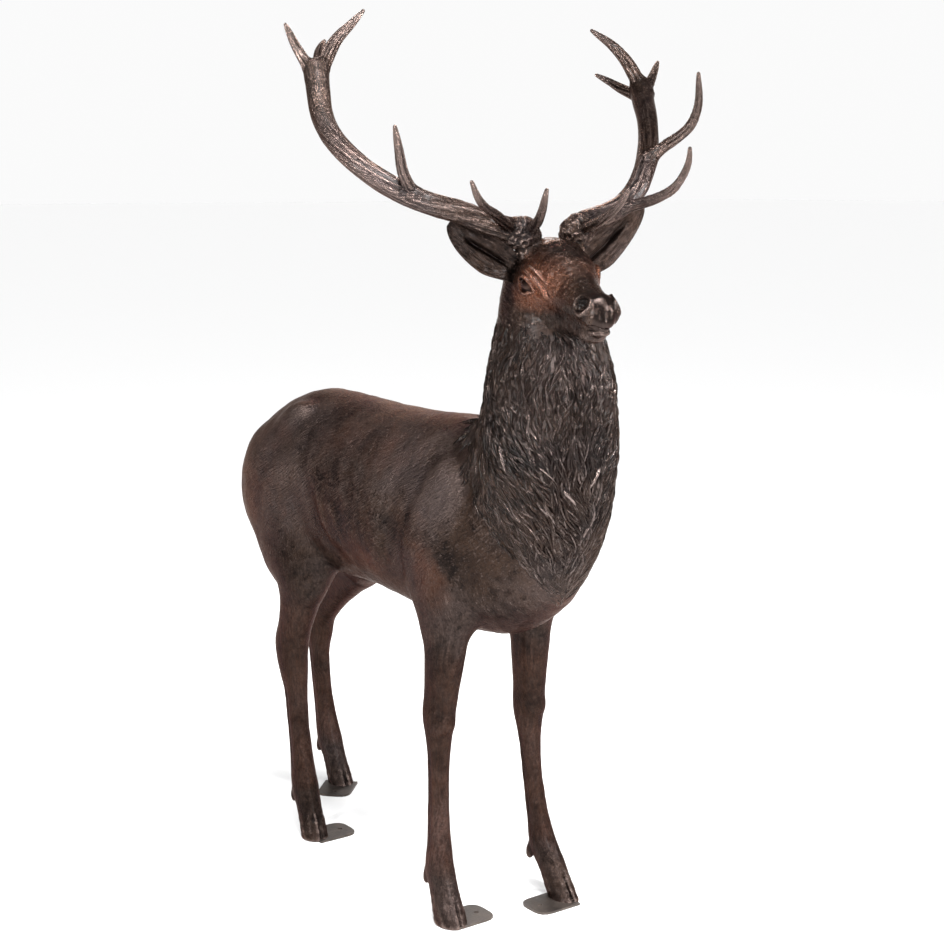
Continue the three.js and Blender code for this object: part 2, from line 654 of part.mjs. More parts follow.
// an ear: a cupped leaf from its root in the skull to its tip
const earWidth = 92;
const earThickness = 11;
const earTips = { left: [-88, 264, 134], right: [-92, 212, 98] };
function ear(name, side) {
  const root = onCrown(-48, 64 * side, -14);
  const [tipForward, tipOut, tipUp] = earTips[name];
  const reach = onCrown(tipForward, tipOut * side, tipUp).sub(root);
  const along = reach.clone().normalize();
  const open = crown.forward.clone().addScaledVector(crown.left, 0.12 * side);
  open.addScaledVector(along, -open.dot(along)).normalize();
  const across = along.clone().cross(open);
  const rings = 8;
  const points = 6;
  return loft(Array.from({ length: rings + 1 }, (_, r) => {
    const t = r / rings;
    const half = (earWidth / 2) * mix(0.62, 1, easeBetween(0, 0.42, t)) * Math.sqrt(1 - (0.985 * t) ** 3.2);
    const cup = half * mix(0.9, 0.3, easeBetween(0, 0.8, t));
    const middle = root.clone()
      .addScaledVector(reach, t)
      .addScaledVector(across, 6 * side * Math.sin(Math.PI * t));
    const thick = earThickness * mix(1.3, 0.75, t);
    const edge = (s, side2) => {
      const lip = Math.sqrt(Math.max(0.06, 1 - s * s));
      return middle.clone()
        .addScaledVector(across, half * s)
        .addScaledVector(open, cup * (s * s - 0.5) + (side2 * thick * lip) / 2);
    };
    const spread = Array.from({ length: points }, (__, i) => (2 * i) / (points - 1) - 1);
    return [
      ...spread.map((s) => edge(s, 1)),
      ...spread.toReversed().map((s) => edge(s, -1)),
    ];
  }));
}

// a flat plate standing on the ground, its outline given by a shape in x and y
function plate(shape, thickness) {
  const form = new THREE.ExtrudeGeometry(shape, { depth: thickness, bevelEnabled: false, curveSegments: 4 });
  form.deleteAttribute('uv');
  form.deleteAttribute('normal');
  return form;
}

// a point on a hoof's tab, seen from above: how far out along the tab and how far to its left
function onTab({ x, y, tabTurn }, out, left) {
  return new THREE.Vector2(out, left)
    .rotateAround(new THREE.Vector2(), THREE.MathUtils.degToRad(tabTurn))
    .add(new THREE.Vector2(x * unit, y * unit));
}

// outline of a tab seen from above, let out by grow all round and by beside on its two sides; the corners of
// its free end are rounded
function tabOutline(hoof, grow, beside) {
  const half = tabWidth / 2 + grow + beside;
  const end = tabReach + grow;
  const start = end - tabLength - 2 * grow;
  const round = tabCorner + grow;
  const at = (out, left) => onTab(hoof, out, left).toArray();
  const shape = new THREE.Shape();
  shape.moveTo(...at(start, -half));
  shape.lineTo(...at(end - round, -half));
  shape.quadraticCurveTo(...at(end, -half), ...at(end, -half + round));
  shape.lineTo(...at(end, half - round));
  shape.quadraticCurveTo(...at(end, half), ...at(end - round, half));
  shape.lineTo(...at(start, half));
  return shape;
}

const holeSides = 16;
function tabGeometry(hoof) {
  const shape = tabOutline(hoof, 0, 0);
  const rim = Array.from({ length: holeSides }, (_, s) => {
    const turn = (-2 * Math.PI * s) / holeSides;
    const out = tabReach - tabHoleInset + (tabHole / 2) * Math.cos(turn);
    return onTab(hoof, out, (tabHole / 2) * Math.sin(turn));
  });
  shape.holes.push(new THREE.Path(rim));
  return plate(shape, tabThickness);
}

// a body for joining and cutting, from a geometry whose faces may repeat their corners
function geometrySolid(form) {
  const seen = new Map();
  const points = [];
  const at = form.getAttribute('position');
  const corner = (n) => {
    const v = [at.getX(n), at.getY(n), at.getZ(n)];
    const key = v.map((s) => Math.round(s * 1e4)).join(' ');
    if (!seen.has(key)) {
      seen.set(key, points.length / 3);
      points.push(...v);
    }
    return seen.get(key);
  };
  const faces = [];
  for (let n = 0; n < at.count; n += 3) {
    const [a, b, c] = [corner(n), corner(n + 1), corner(n + 2)];
    if (a !== b && b !== c && c !== a) faces.push([a, b, c]);
  }
  return solid({ points, faces });
}

// a geometry again, from a body
function meshOf(body, scale) {
  const mesh = body.getMesh();
  const form = new THREE.BufferGeometry();
  const places = Float32Array.from(mesh.vertProperties, (v) => v * scale);
  form.setAttribute('position', new THREE.BufferAttribute(places, 3));
  form.setIndex(Array.from(mesh.triVerts));
  return form;
}

const skin = solid(thinOut(findSkin(), skinFaces));
let stag = skin;
for (const [name, side] of [['left', 1], ['right', -1]]) {
  stag = stag.add(antler(name, side)).add(ear(name, side));
}
stag = geometrySolid(meshOf(stag, unit).toNonIndexed());

// the cleft down the front of a hoof: a wedge that follows the lie of the leg's last stations
const cleftDepth = 16;
const cleftWidth = 9;
function cleft(leg) {
  const ring = ({ at, deep }) => [
    new THREE.Vector3(at.x + deep - cleftDepth, at.y, at.z),
    new THREE.Vector3(at.x + deep + cleftDepth, at.y - cleftWidth, at.z),
    new THREE.Vector3(at.x + deep + cleftDepth, at.y + cleftWidth, at.z),
  ].map((v) => v.multiplyScalar(unit));
  const [upper, middle, lower] = leg.slice(-3);
  return loft([lower, middle, upper].map(ring));
}
for (const leg of legs) stag = stag.subtract(cleft(leg));

// the ground takes the soles flat, and each sole has a recess for its tab
const ground = plate(new THREE.Shape([
  new THREE.Vector2(-1500 * unit, -400 * unit), new THREE.Vector2(700 * unit, -400 * unit),
  new THREE.Vector2(700 * unit, 400 * unit), new THREE.Vector2(-1500 * unit, 400 * unit),
]), 80 * unit);
ground.translate(0, 0, -80 * unit);
stag = stag.subtract(geometrySolid(ground));
const tabs = Object.entries(hoofs).map(([name, hoof]) => {
  const recess = plate(tabOutline(hoof, tabFit, soleOpening), tabThickness + 2 * tabFit);
  recess.translate(0, 0, -tabFit);
  stag = stag.subtract(geometrySolid(recess));
  return { name: `fixing_tab_${name}`, body: geometrySolid(tabGeometry(hoof)) };
});

// colours read from the photograph
const metal = (name, color, roughness) => new THREE.MeshStandardMaterial(
  { name, color, metalness: 0.9, roughness });
const bronze = metal('patinated_bronze', 0x33241e, 0.42);
const tabMetal = metal('tab_bronze', 0x4a423c, 0.55);

const group = new THREE.Group();
function addPart(name, body, material) {
  const form = meshOf(body, 1).toNonIndexed();
  form.computeVertexNormals();
  const mesh = new THREE.Mesh(form, material.clone());
  mesh.name = name;
  group.add(mesh);
}
addPart('stag', stag, bronze);
for (const { name, body } of tabs) addPart(name, body, tabMetal);

// the middle of the group's footprint goes to the origin
const box = new THREE.Box3().setFromObject(group);
const shift = box.getCenter(new THREE.Vector3()).negate().setZ(-box.min.z);
for (const mesh of group.children) mesh.geometry.translate(shift.x, shift.y, shift.z);

export default group;
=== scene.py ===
# Bronze stag: the fine skin, face, mane, antlers, ears and patina over the CAD model.
import math

import bpy
import numpy as np
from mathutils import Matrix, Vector


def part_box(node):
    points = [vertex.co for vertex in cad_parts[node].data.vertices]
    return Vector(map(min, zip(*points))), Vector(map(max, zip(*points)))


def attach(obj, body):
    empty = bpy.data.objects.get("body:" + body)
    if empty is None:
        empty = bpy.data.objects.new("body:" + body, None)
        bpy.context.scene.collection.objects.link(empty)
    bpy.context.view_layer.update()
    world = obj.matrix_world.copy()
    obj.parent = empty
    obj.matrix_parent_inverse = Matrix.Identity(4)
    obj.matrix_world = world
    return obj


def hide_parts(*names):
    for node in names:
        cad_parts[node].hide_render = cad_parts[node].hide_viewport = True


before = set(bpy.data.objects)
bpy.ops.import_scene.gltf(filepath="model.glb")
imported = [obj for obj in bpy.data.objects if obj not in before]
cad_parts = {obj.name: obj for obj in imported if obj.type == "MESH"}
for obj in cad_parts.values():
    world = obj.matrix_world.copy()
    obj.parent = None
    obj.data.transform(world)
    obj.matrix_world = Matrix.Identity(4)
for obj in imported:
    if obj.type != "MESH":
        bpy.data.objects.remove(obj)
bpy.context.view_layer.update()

# the pose is written in millimetres from an origin ahead of the middle of the tab under the right fore
# hoof, and to the left of its inner end
tabLow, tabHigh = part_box("fixing_tab_front_right")
aheadOfTab, besideTab = 0.025, 0.162
poseShift = np.array([(tabLow[0] + tabHigh[0]) / 2 + aheadOfTab, tabLow[1] + besideTab, 0.0])
toMetres = 0.001

figure = {
    "trunkCell": 6.6,       # grid step of the trunk, mm
    "legCell": 4.2,
    "headCell": 2.3,
    "antlerCell": 2.7,
    "legTop": 600,          # height at which the legs' finer skin ends
    "headFoot": 1440,       # and at which the head's begins
    "overlap": 6,           # how far two skins lie over each other
    "creaseDepth": 1.0,     # share of the depth of the body's folds
    "ribHeight": 0.7,       # mm
    "paintedBackSheen": 0.19,       # painted sheen: how much lighter the patina is made along the back, where light from above falls
    "darkLegs": 0.62,       # and how much darker it stays down the legs
    "cleft": 3.4,           # half width of the gap between the toes
    "hoofRidges": 1.2,
    "tendonHollow": 3.2,
    "mostTriangles": 198000,    # of one layer of the mane
}
# layers of the mane: space between roots, shortest and longest lock, width, height, and how deep the
# locks sit in the skin, all in mm; wave says how much they curl
maneLayers = [
    {"name": "stag_mane_under", "zone": "mane", "seed": 11, "spacing": 15.5, "length": (48, 95),
     "width": (9, 16), "height": 4.2, "wave": 0.55, "sink": 0.6},
    {"name": "stag_mane_over", "zone": "mane", "seed": 23, "spacing": 16.5, "length": (60, 125),
     "width": (8, 17), "height": 7.0, "wave": 0.62, "sink": -0.6},
    {"name": "stag_mane_fringe", "zone": "fringe", "seed": 37, "spacing": 14.5, "length": (34, 62),
     "width": (7, 11), "height": 2.6, "wave": 0.45, "sink": 0.2},
]
# the bronze of the body; mane, head and antlers differ from it where they say so
patina = {
    "shade": (0.006, 0.0042, 0.0038),
    "brown": (0.041, 0.0250, 0.018),
    "warm": (0.175, 0.062, 0.034),
    # pale of worn bronze, also used for painted highlights and glints
    "paleWearAndGlint": (0.34, 0.25, 0.22),
    "grey": (0.092, 0.070, 0.067),
    "edge": (0.50, 0.36, 0.30),     # tint of the sheen at the outline
    "horn": (0.020, 0.013, 0.011),  # nose and eyeballs
    "metallic": 0.85,
    "roughness": 0.40,
    "stroke": 1.0,          # depth of the hair strokes
    "grit": 1.0,            # depth of the fine casting grain
    "coat": 0.05,           # wax over the patina
    "paintedStrokeGlint": 0.22,          # painted glints: how pale the ridges of the hair strokes are made
    "calm": 0.62,           # how much evener the clouds get down the legs
    "relief": 0.0042,       # height of strokes and grain together, m
}
patternScale = {"cloud": 3.1, "patch": 9.0, "mottle": 46.0, "fleck": 170.0}     # of the bronze, per metre
manePatina = {
    **patina, "roughness": 0.20, "stroke": 0.9, "grit": 0.25, "paintedStrokeGlint": 0.50, "coat": 0.14, "calm": 0.0,
    "paleWearAndGlint": (0.46, 0.36, 0.33), "edge": (0.70, 0.56, 0.50), "brown": (0.027, 0.016, 0.0115),
    "grey": (0.046, 0.032, 0.029),
}
headPatina = {
    **patina, "roughness": 0.25, "stroke": 1.4, "grit": 0.7, "paintedStrokeGlint": 0.50, "coat": 0.15, "calm": 0.0,
    "warm": (0.225, 0.084, 0.047), "grey": (0.050, 0.037, 0.034),
}
antlerPatina = {
    **patina, "roughness": 0.25, "stroke": 1.5, "grit": 0.6, "paintedStrokeGlint": 0.45, "coat": 0.12, "calm": 0.0,
}


def mix(a, b, t):
    return a + (b - a) * t


def ease(low, high, v):
    t = np.clip((v - low) / (high - low), 0, 1)
    return t * t * (3 - 2 * t)


def bell(*parts):
    # 1 where every part is 0, fading out about one and a half away
    return np.exp(-sum(part ** 2 for part in parts))


def unit(vectors):
    return vectors / np.linalg.norm(vectors, axis=-1, keepdims=True)


def cellCorners(part):
    # the eight corners of a cell, and how much each counts at a place inside it
    for corner in range(8):
        offset = np.array([corner & 1, corner >> 1 & 1, corner >> 2 & 1])
        yield offset, np.prod(np.where(offset, part, 1 - part), axis=1)


# the head's own directions: forward, left and up from between the ears
headAt = np.array([184.0, -14.0, 1561.0])


def facing(degrees):
    turn = math.radians(degrees)
    return np.array([
        [math.cos(turn), math.sin(turn), 0],
        [-math.sin(turn), math.cos(turn), 0],
        [0, 0, 1],
    ])


face = facing(-16)
crown = facing(-12)


def onFace(forward, left, up):
    return headAt + np.array([forward, left, up]) @ face


def onCrown(forward, left, up):
    return headAt + np.array([forward, left, up]) @ crown


# stations of a limb: x, y, z, half width, half depth
def midStations(rows):
    return np.array([[x, 0, z, wide, deep] for x, z, wide, deep in rows], float)


def headStations(rows):
    return np.array([[*onFace(f, 0, u), wide, deep] for f, u, wide, deep in rows], float)


def footStations(side, rows):
    return np.array([[x, y * side, z, wide, deep] for x, y, z, wide, deep in rows], float)


torso = midStations([
    (-1015, 965, 108, 118), (-930, 974, 155, 172), (-790, 968, 190, 233), (-600, 958, 193, 238),
    (-450, 957, 200, 234), (-300, 953, 200, 240), (-150, 945, 186, 255), (0, 950, 162, 247),
    (100, 985, 132, 198), (165, 1030, 104, 130),
])
neck = midStations([
    (40, 940, 126, 132), (95, 1025, 138, 162), (132, 1120, 142, 178), (150, 1220, 130, 171),
    (152, 1310, 121, 161), (144, 1400, 109, 136), (128, 1480, 95, 107), (112, 1535, 77, 82),
])
skull = headStations([
    (-72, -20, 60, 68), (-10, -10, 77, 77), (50, -24, 74, 72), (110, -48, 55, 57),
    (165, -66, 45, 47), (212, -76, 41, 40), (243, -80, 36, 34),
])
jaw = headStations([
    (-30, -80, 52, 48), (60, -101, 40, 36), (150, -115, 31, 26), (208, -121, 27, 21),
])
legs = {
    "fore_right": footStations(-1, [
        (-50, 105, 870, 60, 84), (-66, 118, 775, 58, 76), (-78, 124, 700, 49, 62), (-82, 128, 620, 42, 55),
        (-90, 131, 545, 37, 48), (-95, 133, 495, 38, 43), (-93, 135, 440, 31, 34), (-91, 137, 390, 26, 29),
        (-87, 141, 290, 25, 27), (-79, 145, 195, 27, 31), (-72, 148, 125, 33, 39), (-52, 150, 75, 33, 38),
        (-30, 152, 25, 36, 42), (-10, 153, -25, 37, 45),
    ]),
    "fore_left": footStations(1, [
        (-50, 105, 870, 60, 84), (-66, 118, 775, 58, 76), (-78, 124, 700, 49, 62), (-81, 128, 620, 42, 54),
        (-86, 131, 530, 37, 47), (-92, 134, 470, 37, 42), (-92, 136, 420, 31, 33), (-90, 138, 370, 26, 28),
        (-82, 142, 280, 24, 26), (-68, 146, 195, 26, 29), (-50, 150, 125, 32, 36), (-18, 153, 75, 32, 34),
        (12, 154, 25, 33, 36), (44, 155, -25, 34, 38),
    ]),
    "hind_right": footStations(-1, [
        (-850, 90, 930, 90, 165), (-790, 110, 820, 85, 160), (-745, 125, 735, 70, 112),
        (-752, 130, 655, 52, 66), (-775, 132, 580, 42, 54), (-798, 132, 510, 40, 57),
        (-790, 132, 450, 36, 47), (-780, 132, 395, 30, 37), (-768, 133, 300, 28, 32),
        (-750, 134, 205, 30, 35), (-733, 135, 130, 34, 41), (-710, 136, 75, 32, 36),
        (-690, 137, 25, 34, 38), (-671, 138, -25, 35, 40),
    ]),
    "hind_left": footStations(1, [
        (-850, 90, 930, 90, 165), (-830, 110, 820, 85, 155), (-850, 125, 735, 72, 110),
        (-925, 130, 650, 52, 66), (-1010, 132, 580, 42, 54), (-1085, 132, 505, 40, 52),
        (-1098, 132, 440, 36, 44), (-1100, 132, 385, 29, 34), (-1092, 133, 300, 27, 30),
        (-1075, 134, 205, 29, 33), (-1053, 135, 130, 34, 39), (-1030, 136, 80, 32, 35),
        (-1006, 137, 25, 33, 36), (-983, 138, -25, 34, 38),
    ]),
}

# lumps: centre, half sizes, lean in degrees
bodyLumps = [
    (-88, 128, 905, (118, 58, 205), -12), (12, 72, 842, (68, 52, 88), 20),
    (-80, 118, 775, (84, 50, 88), 0), (-118, 116, 712, (30, 28, 34), 0),
    (-866, 104, 925, (186, 88, 184), 14), (-785, 97, 800, (122, 74, 138), 0),
    (-780, 112, 1128, (70, 44, 42), 24), (-1068, 0, 965, (38, 34, 105), 12), (44, 0, 853, (78, 72, 92), 0),
]
hollows = [(-640, 214, 905, (72, 26, 92), 10), (-232, 208, 880, (26, 18, 120), -10)]
boneLumps = [
    (-846, -132, 532, (20, 16, 40), -12), (-1132, 132, 528, (20, 16, 38), -24),
    (-72, 136, 478, (24, 25, 24), 0), (-72, -136, 478, (24, 25, 24), 0),
]
faceLumps = [
    (-10, 46, -70, (54, 30, 50)), (36, 60, -8, (38, 22, 17)), (238, 25, -74, (26, 17, 24)),
    (250, 0, -92, (22, 33, 20)), (212, 0, -128, (27, 26, 17)),
]


def join(a, b, soft):
    # one body from two, rounded where they meet
    near = np.maximum(soft - np.abs(a - b), 0) / soft
    return np.minimum(a, b) - near * near * (soft * 0.25)


def cut(a, b, soft):
    return -join(-a, b, soft)


def eggDistance(x, y, z, a, b, c):
    # distance to an egg with the half sizes a, b and c
    u, v, w = x / a, y / b, z / c
    outer = np.sqrt(u * u + v * v + w * w)
    slope = np.sqrt((u / a) ** 2 + (v / b) ** 2 + (w / c) ** 2) + 1e-9
    return outer * (outer - 1) / slope


def curvePoint(points, share):
    # one point of a centripetal Catmull-Rom curve through the points
    count = len(points) - 1
    span = min(int(share * count), count - 1)
    t = share * count - span
    b, c = points[span], points[span + 1]
    a = points[span - 1] if span > 0 else 2 * b - c
    d = points[span + 2] if span + 2 <= count else 2 * c - b
    gaps = [max(math.sqrt(np.linalg.norm(q - p)), 1e-4) for p, q in ((a, b), (b, c), (c, d))]
    first = ((b - a) / gaps[0] - (c - a) / (gaps[0] + gaps[1]) + (c - b) / gaps[1]) * gaps[1]
    last = ((c - b) / gaps[1] - (d - b) / (gaps[1] + gaps[2]) + (d - c) / gaps[2]) * gaps[1]
    return b + first * t + (3 * (c - b) - 2 * first - last) * t * t + (2 * (b - c) + first + last) * t ** 3


def smoothStations(stations, between):
    # the stations with more of them in between, on a smooth curve
    count = (len(stations) - 1) * between
    girths = np.column_stack([stations[:, 3:], np.arange(len(stations)) * 30.0])
    shares = np.arange(count + 1) / count
    return np.array([[*curvePoint(stations[:, :3], s), *curvePoint(girths, s)[:2]] for s in shares])


slant = (0.31, 0.23, 0.92)      # a direction that no string or horn runs along


class Field:
    # signed distance to the figure's skin on a grid of its own

    def __init__(self, low, high, step):
        self.low = np.array(low, float)
        self.step = step
        self.count = np.ceil((np.array(high) - self.low) / step).astype(int) + 1
        self.axes = [(self.low[a] + step * np.arange(self.count[a])).astype(np.float32) for a in range(3)]
        self.value = np.full(self.count, 400, np.float32)

    def part(self, low, high):
        cuts = []
        for a in range(3):
            first = max(0, math.floor((low[a] - self.low[a]) / self.step))
            last = min(self.count[a], math.ceil((high[a] - self.low[a]) / self.step) + 1)
            if last <= first:
                return None
            cuts.append(slice(first, last))
        x = self.axes[0][cuts[0], None, None]
        y = self.axes[1][None, cuts[1], None]
        z = self.axes[2][None, None, cuts[2]]
        return tuple(cuts), x, y, z

    def limb(self, stations, soft, across=(0, 1, 0), between=3, mixing=join):
        fine = smoothStations(stations, between) if between > 1 else stations
        reach = fine[:, 3:].max() + soft + 7
        whole = self.part(fine[:, :3].min(0) - reach, fine[:, :3].max(0) + reach)
        if whole is None:
            return
        cuts = whole[0]
        near = np.full([c.stop - c.start for c in cuts], 1e9, np.float32)
        for a, b in zip(fine, fine[1:]):
            along = b[:3] - a[:3]
            length = np.linalg.norm(along)
            along = along / length
            side = unit(np.array(across) - along * np.dot(across, along))
            depth = np.cross(along, side)
            reach = max(*a[3:], *b[3:]) + soft + 7
            inner = self.part(np.minimum(a[:3], b[:3]) - reach, np.maximum(a[:3], b[:3]) + reach)
            if inner is None:
                continue
            innerCuts, x, y, z = inner
            x, y, z = x - np.float32(a[0]), y - np.float32(a[1]), z - np.float32(a[2])
            run = x * along[0] + y * along[1] + z * along[2]
            t = np.clip(run / length, 0, 1)
            wide = mix(a[3], b[3], t)
            deep = mix(a[4], b[4], t)
            sideways = x * side[0] + y * side[1] + z * side[2]
            through = x * depth[0] + y * depth[1] + z * depth[2]
            distance = eggDistance(sideways, through, run - t * length, wide, deep, np.minimum(wide, deep))
            local = tuple(slice(i.start - o.start, i.stop - o.start) for i, o in zip(innerCuts, cuts))
            near[local] = np.minimum(near[local], distance)
        before = self.value[cuts]
        self.value[cuts] = np.where(near < 1e8, mixing(before, near, soft), before)

    def lump(self, at, size, lean, soft, mixing=join):
        reach = max(size) + soft + 7
        found = self.part(np.array(at) - reach, np.array(at) + reach)
        if found is None:
            return
        cuts, x, y, z = found
        x, y, z = x - at[0], y - at[1], z - at[2]
        cos, sin = math.cos(math.radians(lean)), math.sin(math.radians(lean))
        distance = eggDistance(x * cos + z * sin, y, z * cos - x * sin, *size)
        self.value[cuts] = mixing(self.value[cuts], distance.astype(np.float32), soft)

    def tube(self, rows, soft, mixing=join, between=3):
        # a soft round string through points with a radius each
        stations = np.array([[*row[:3], row[3], row[3]] for row in rows], float)
        self.limb(stations, soft, slant, between, mixing)

    def sample(self, points):
        place = (points - self.low) / self.step
        base = np.clip(np.floor(place).astype(int), 0, self.count - 2)
        part = np.clip(place - base, 0, 1)
        return sum(weight * self.value[tuple((base + offset).T)] for offset, weight in cellCorners(part))

    def slope(self, points):
        step = self.step * 0.75
        parts = []
        for axis in np.eye(3) * step:
            parts.append(self.sample(points + axis) - self.sample(points - axis))
        slope = np.stack(parts, 1)
        size = np.linalg.norm(slope, axis=1, keepdims=True)
        return slope / np.maximum(size, 1e-9), size[:, 0] / (2 * step)

    def settle(self, points, times=2):
        for _ in range(times):
            normal, size = self.slope(points)
            move = np.clip(self.sample(points) / np.maximum(size, 0.3), -self.step, self.step)
            points = points - normal * move[:, None]
        return points

    def skin(self):
        # one point in each cell that the skin crosses, and a face round each edge that it crosses
        value = np.where(np.abs(self.value) < 1e-3, 1e-3, self.value)
        cells = self.count - 1
        strides = np.array([cells[1] * cells[2], cells[2], 1])
        corners, crossings = [], []
        for axis in range(3):
            lower = [slice(None)] * 3
            upper = [slice(None)] * 3
            lower[axis], upper[axis] = slice(0, -1), slice(1, None)
            a, b = value[tuple(lower)], value[tuple(upper)]
            at = np.stack(np.nonzero((a < 0) != (b < 0)), 1)
            u, v = (axis + 1) % 3, (axis + 2) % 3
            at = at[(at[:, u] > 0) & (at[:, v] > 0) & (at[:, u] < cells[u]) & (at[:, v] < cells[v])]
            va, vb = a[tuple(at.T)], b[tuple(at.T)]
            crossing = at.astype(float)
            crossing[:, axis] += va / (va - vb)
            base = at @ strides
            ring = np.stack([base - strides[u] - strides[v], base - strides[v], base, base - strides[u]], 1)
            corners.append(np.where((va < 0)[:, None], ring, ring[:, ::-1]))
            crossings.append(crossing)
        corners = np.concatenate(corners)
        crossings = np.concatenate(crossings)
        used, faces = np.unique(corners, return_inverse=True)
        faces = faces.reshape(-1, 4)
        tally = np.bincount(faces.ravel(), minlength=len(used))
        points = np.stack([
            np.bincount(faces.ravel(), np.repeat(crossings[:, a], 4), len(used)) / tally for a in range(3)
        ], 1)
        return self.settle(self.low + points * self.step), faces


def bothSides(x, y, z):
    return [(x, y, z), (x, -y, z)] if y else [(x, y, z)]


def addBody(field):
    field.limb(torso, 30, between=5)
    field.limb(neck, 55, between=5)
    for x, y, z, size, lean in bodyLumps:
        for at in bothSides(x, y, z):
            field.lump(at, size, lean, 32)
    for x, y, z, size, lean in hollows:
        for at in bothSides(x, y, z):
            field.lump(at, size, lean, 40, cut)
    for leg in legs.values():
        field.limb(leg, 32, between=7)
        x, y, z = leg[-4][:3]
        for side in (-1, 1):
            field.lump((x - 29, y + 16 * side, z - 24), (12, 10, 27), -14, 8)
    for x, y, z, size, lean in boneLumps:
        field.lump((x, y, z), size, lean, 16)


def faceTube(field, rows, soft, mixing=join):
    for side in (-1, 1):
        field.tube([(*onFace(f, l * side, u), r) for f, l, u, r in rows], soft, mixing)


def addHead(field):
    field.limb(skull, 34, face[1])
    field.limb(jaw, 22, face[1])
    for f, l, u, size in faceLumps:
        for at in bothSides(f, l, u):
            field.lump(onFace(*at), size, 0, 16)
    for side in (-1, 1):
        field.lump(onCrown(-20, 56 * side, 48), (28, 28, 34), 0, 18)
        field.lump(onFace(62, 76 * side, -44), (24, 14, 15), 0, 12, cut)


# places on the side of the face, forward and up
eyeForward, eyeUp = 20, -34
nostrilForward, nostrilUp = 236, -62


def eyeDistance(forward, up):
    return np.sqrt((forward - eyeForward) ** 2 + (up - eyeUp) ** 2)


def addFace(field):
    # lids, folds, nostrils, lips and the small forms of the head
    field.lump(onFace(248, 0, -63), (22, 22, 22), 0, 10)
    field.lump(onFace(260, 0, -84), (21, 18, 24), 0, 12)
    field.lump(onFace(268, 0, -99), (17, 18, 15), 0, 10)
    for side in (-1, 1):
        field.lump(onFace(eyeForward + 1, 87 * side, eyeUp), (31, 10, 20), 0, 4, cut)
        field.lump(onFace(eyeForward, 66 * side, eyeUp), (21, 17, 16), 0, 1)
    innerCorner, outerCorner = (52, 67, -47, 2.6), (-10, 80, -36, 2.8)
    upperLid = [(39, 77, -26, 4.2), (21, 84, -16, 5.0), (4, 84, -22, 4.4)]
    lowerLid = [(37, 74, -50, 3.6), (19, 79, -53, 4.0), (3, 80, -48, 3.6)]
    faceTube(field, [innerCorner, *upperLid, outerCorner], 3)
    faceTube(field, [innerCorner, *lowerLid, outerCorner], 3)
    faceTube(field, [(58, 69, -34, 1.8), (42, 80, -13, 2.6), (20, 85, -6, 2.6), (-4, 84, -15, 1.8)], 5, cut)
    faceTube(field, [(34, 83, -2, 3.2), (58, 77, -15, 4.6), (80, 67, -34, 4.6), (92, 58, -58, 3)], 7)
    faceTube(field, [(46, 82, 3, 2), (70, 74, -10, 3.2), (92, 63, -31, 3.2), (104, 54, -54, 2)], 4, cut)
    faceTube(field, [(52, 80, 8, 2), (70, 74, -1, 3.4), (88, 66, -18, 2.4)], 6)
    faceTube(field, [(54, 66, -48, 2.6), (68, 63, -58, 3.8), (86, 59, -68, 3.4), (100, 54, -78, 2)], 5, cut)
    faceTube(field, [(12, 79, -60, 2), (36, 76, -67, 2.6), (58, 69, -76, 2)], 5, cut)
    rings = []
    for side in (-1, 1):
        normal = np.array([0.42, 0.90 * side, 0.12])
        first = unit(np.cross([0, 0, 1], normal))
        second = np.cross(normal, first)
        turns = np.linspace(0, 2 * math.pi, 21)[:, None]
        middle = np.array([nostrilForward - 1, 38 * side, nostrilUp])
        spots = middle + first * 27 * np.cos(turns) + second * 22 * np.sin(turns)
        spots = field.settle(headAt + spots @ face, 3) - normal @ face * 1.6
        rings.append(np.column_stack([spots, 4.4 - 1.2 * np.sin(turns)]))
    for side, ring in zip((-1, 1), rings):
        field.lump(onFace(nostrilForward + 4, 43 * side, nostrilUp), (25, 20, 18.5), 0, 4, cut)
        field.tube(ring, 4, between=1)
    mouth = [(274, 0, -109, 3), (262, 20, -109, 3.2), (244, 30, -107, 2.8), (222, 36, -104, 1.8)]
    faceTube(field, mouth, 4, cut)
    field.lump(onFace(242, 0, -121), (25, 21, 11), 0, 6)


# large odd numbers that scatter the cells of the noise
hashSteps = np.array([374761393, 668265263, 2147483647])
hashSeed, hashSpread = 1442695, 1274126177


def noise(points, size, seed=0):
    # smooth value noise between -1 and 1, its lumps about one size across
    place = points / size + seed * 17.3
    base = np.floor(place).astype(np.int64)
    part = place - base
    part = part * part * (3 - 2 * part)
    total = 0
    for offset, weight in cellCorners(part):
        key = (base + offset) @ hashSteps + seed * hashSeed
        key = (key ^ (key >> 13)) * hashSpread
        value = ((key ^ (key >> 16)) & 0xFFFF) / 32767.5 - 1
        total = total + weight * value
    return total


def pointNormals(points, faces):
    a, b, c, d = (points[faces[:, n]] for n in range(4))
    across = np.cross(c - a, d - b)
    normals = np.stack([
        np.bincount(faces.ravel(), np.repeat(across[:, axis], 4), len(points)) for axis in range(3)
    ], 1)
    return normals / np.maximum(np.linalg.norm(normals, axis=1, keepdims=True), 1e-9)


def standOut(points, faces, normals, rounds):
    # how far each point stands out from the smoothed skin round it, in millimetres
    heads, tails = faces.ravel(), np.roll(faces, -1, 1).ravel()
    tally = np.bincount(heads, minlength=len(points)) + np.bincount(tails, minlength=len(points))
    smooth = points
    count = len(points)
    for _ in range(rounds):
        around = [
            np.bincount(heads, smooth[tails, a], count) + np.bincount(tails, smooth[heads, a], count)
            for a in range(3)
        ]
        smooth = np.stack([total / np.maximum(tally, 1) for total in around], 1)
    return np.einsum("ij,ij->i", points - smooth, normals)


def keepFaces(points, faces, wanted):
    # the faces whose points are all wanted, and only the points that they use
    faces = faces[wanted[faces].all(1)]
    used, again = np.unique(faces, return_inverse=True)
    return points[used], again.reshape(-1, faces.shape[1])


def addThing(name, data):
    thing = bpy.data.objects.new(name, data)
    bpy.context.scene.collection.objects.link(thing)
    return thing


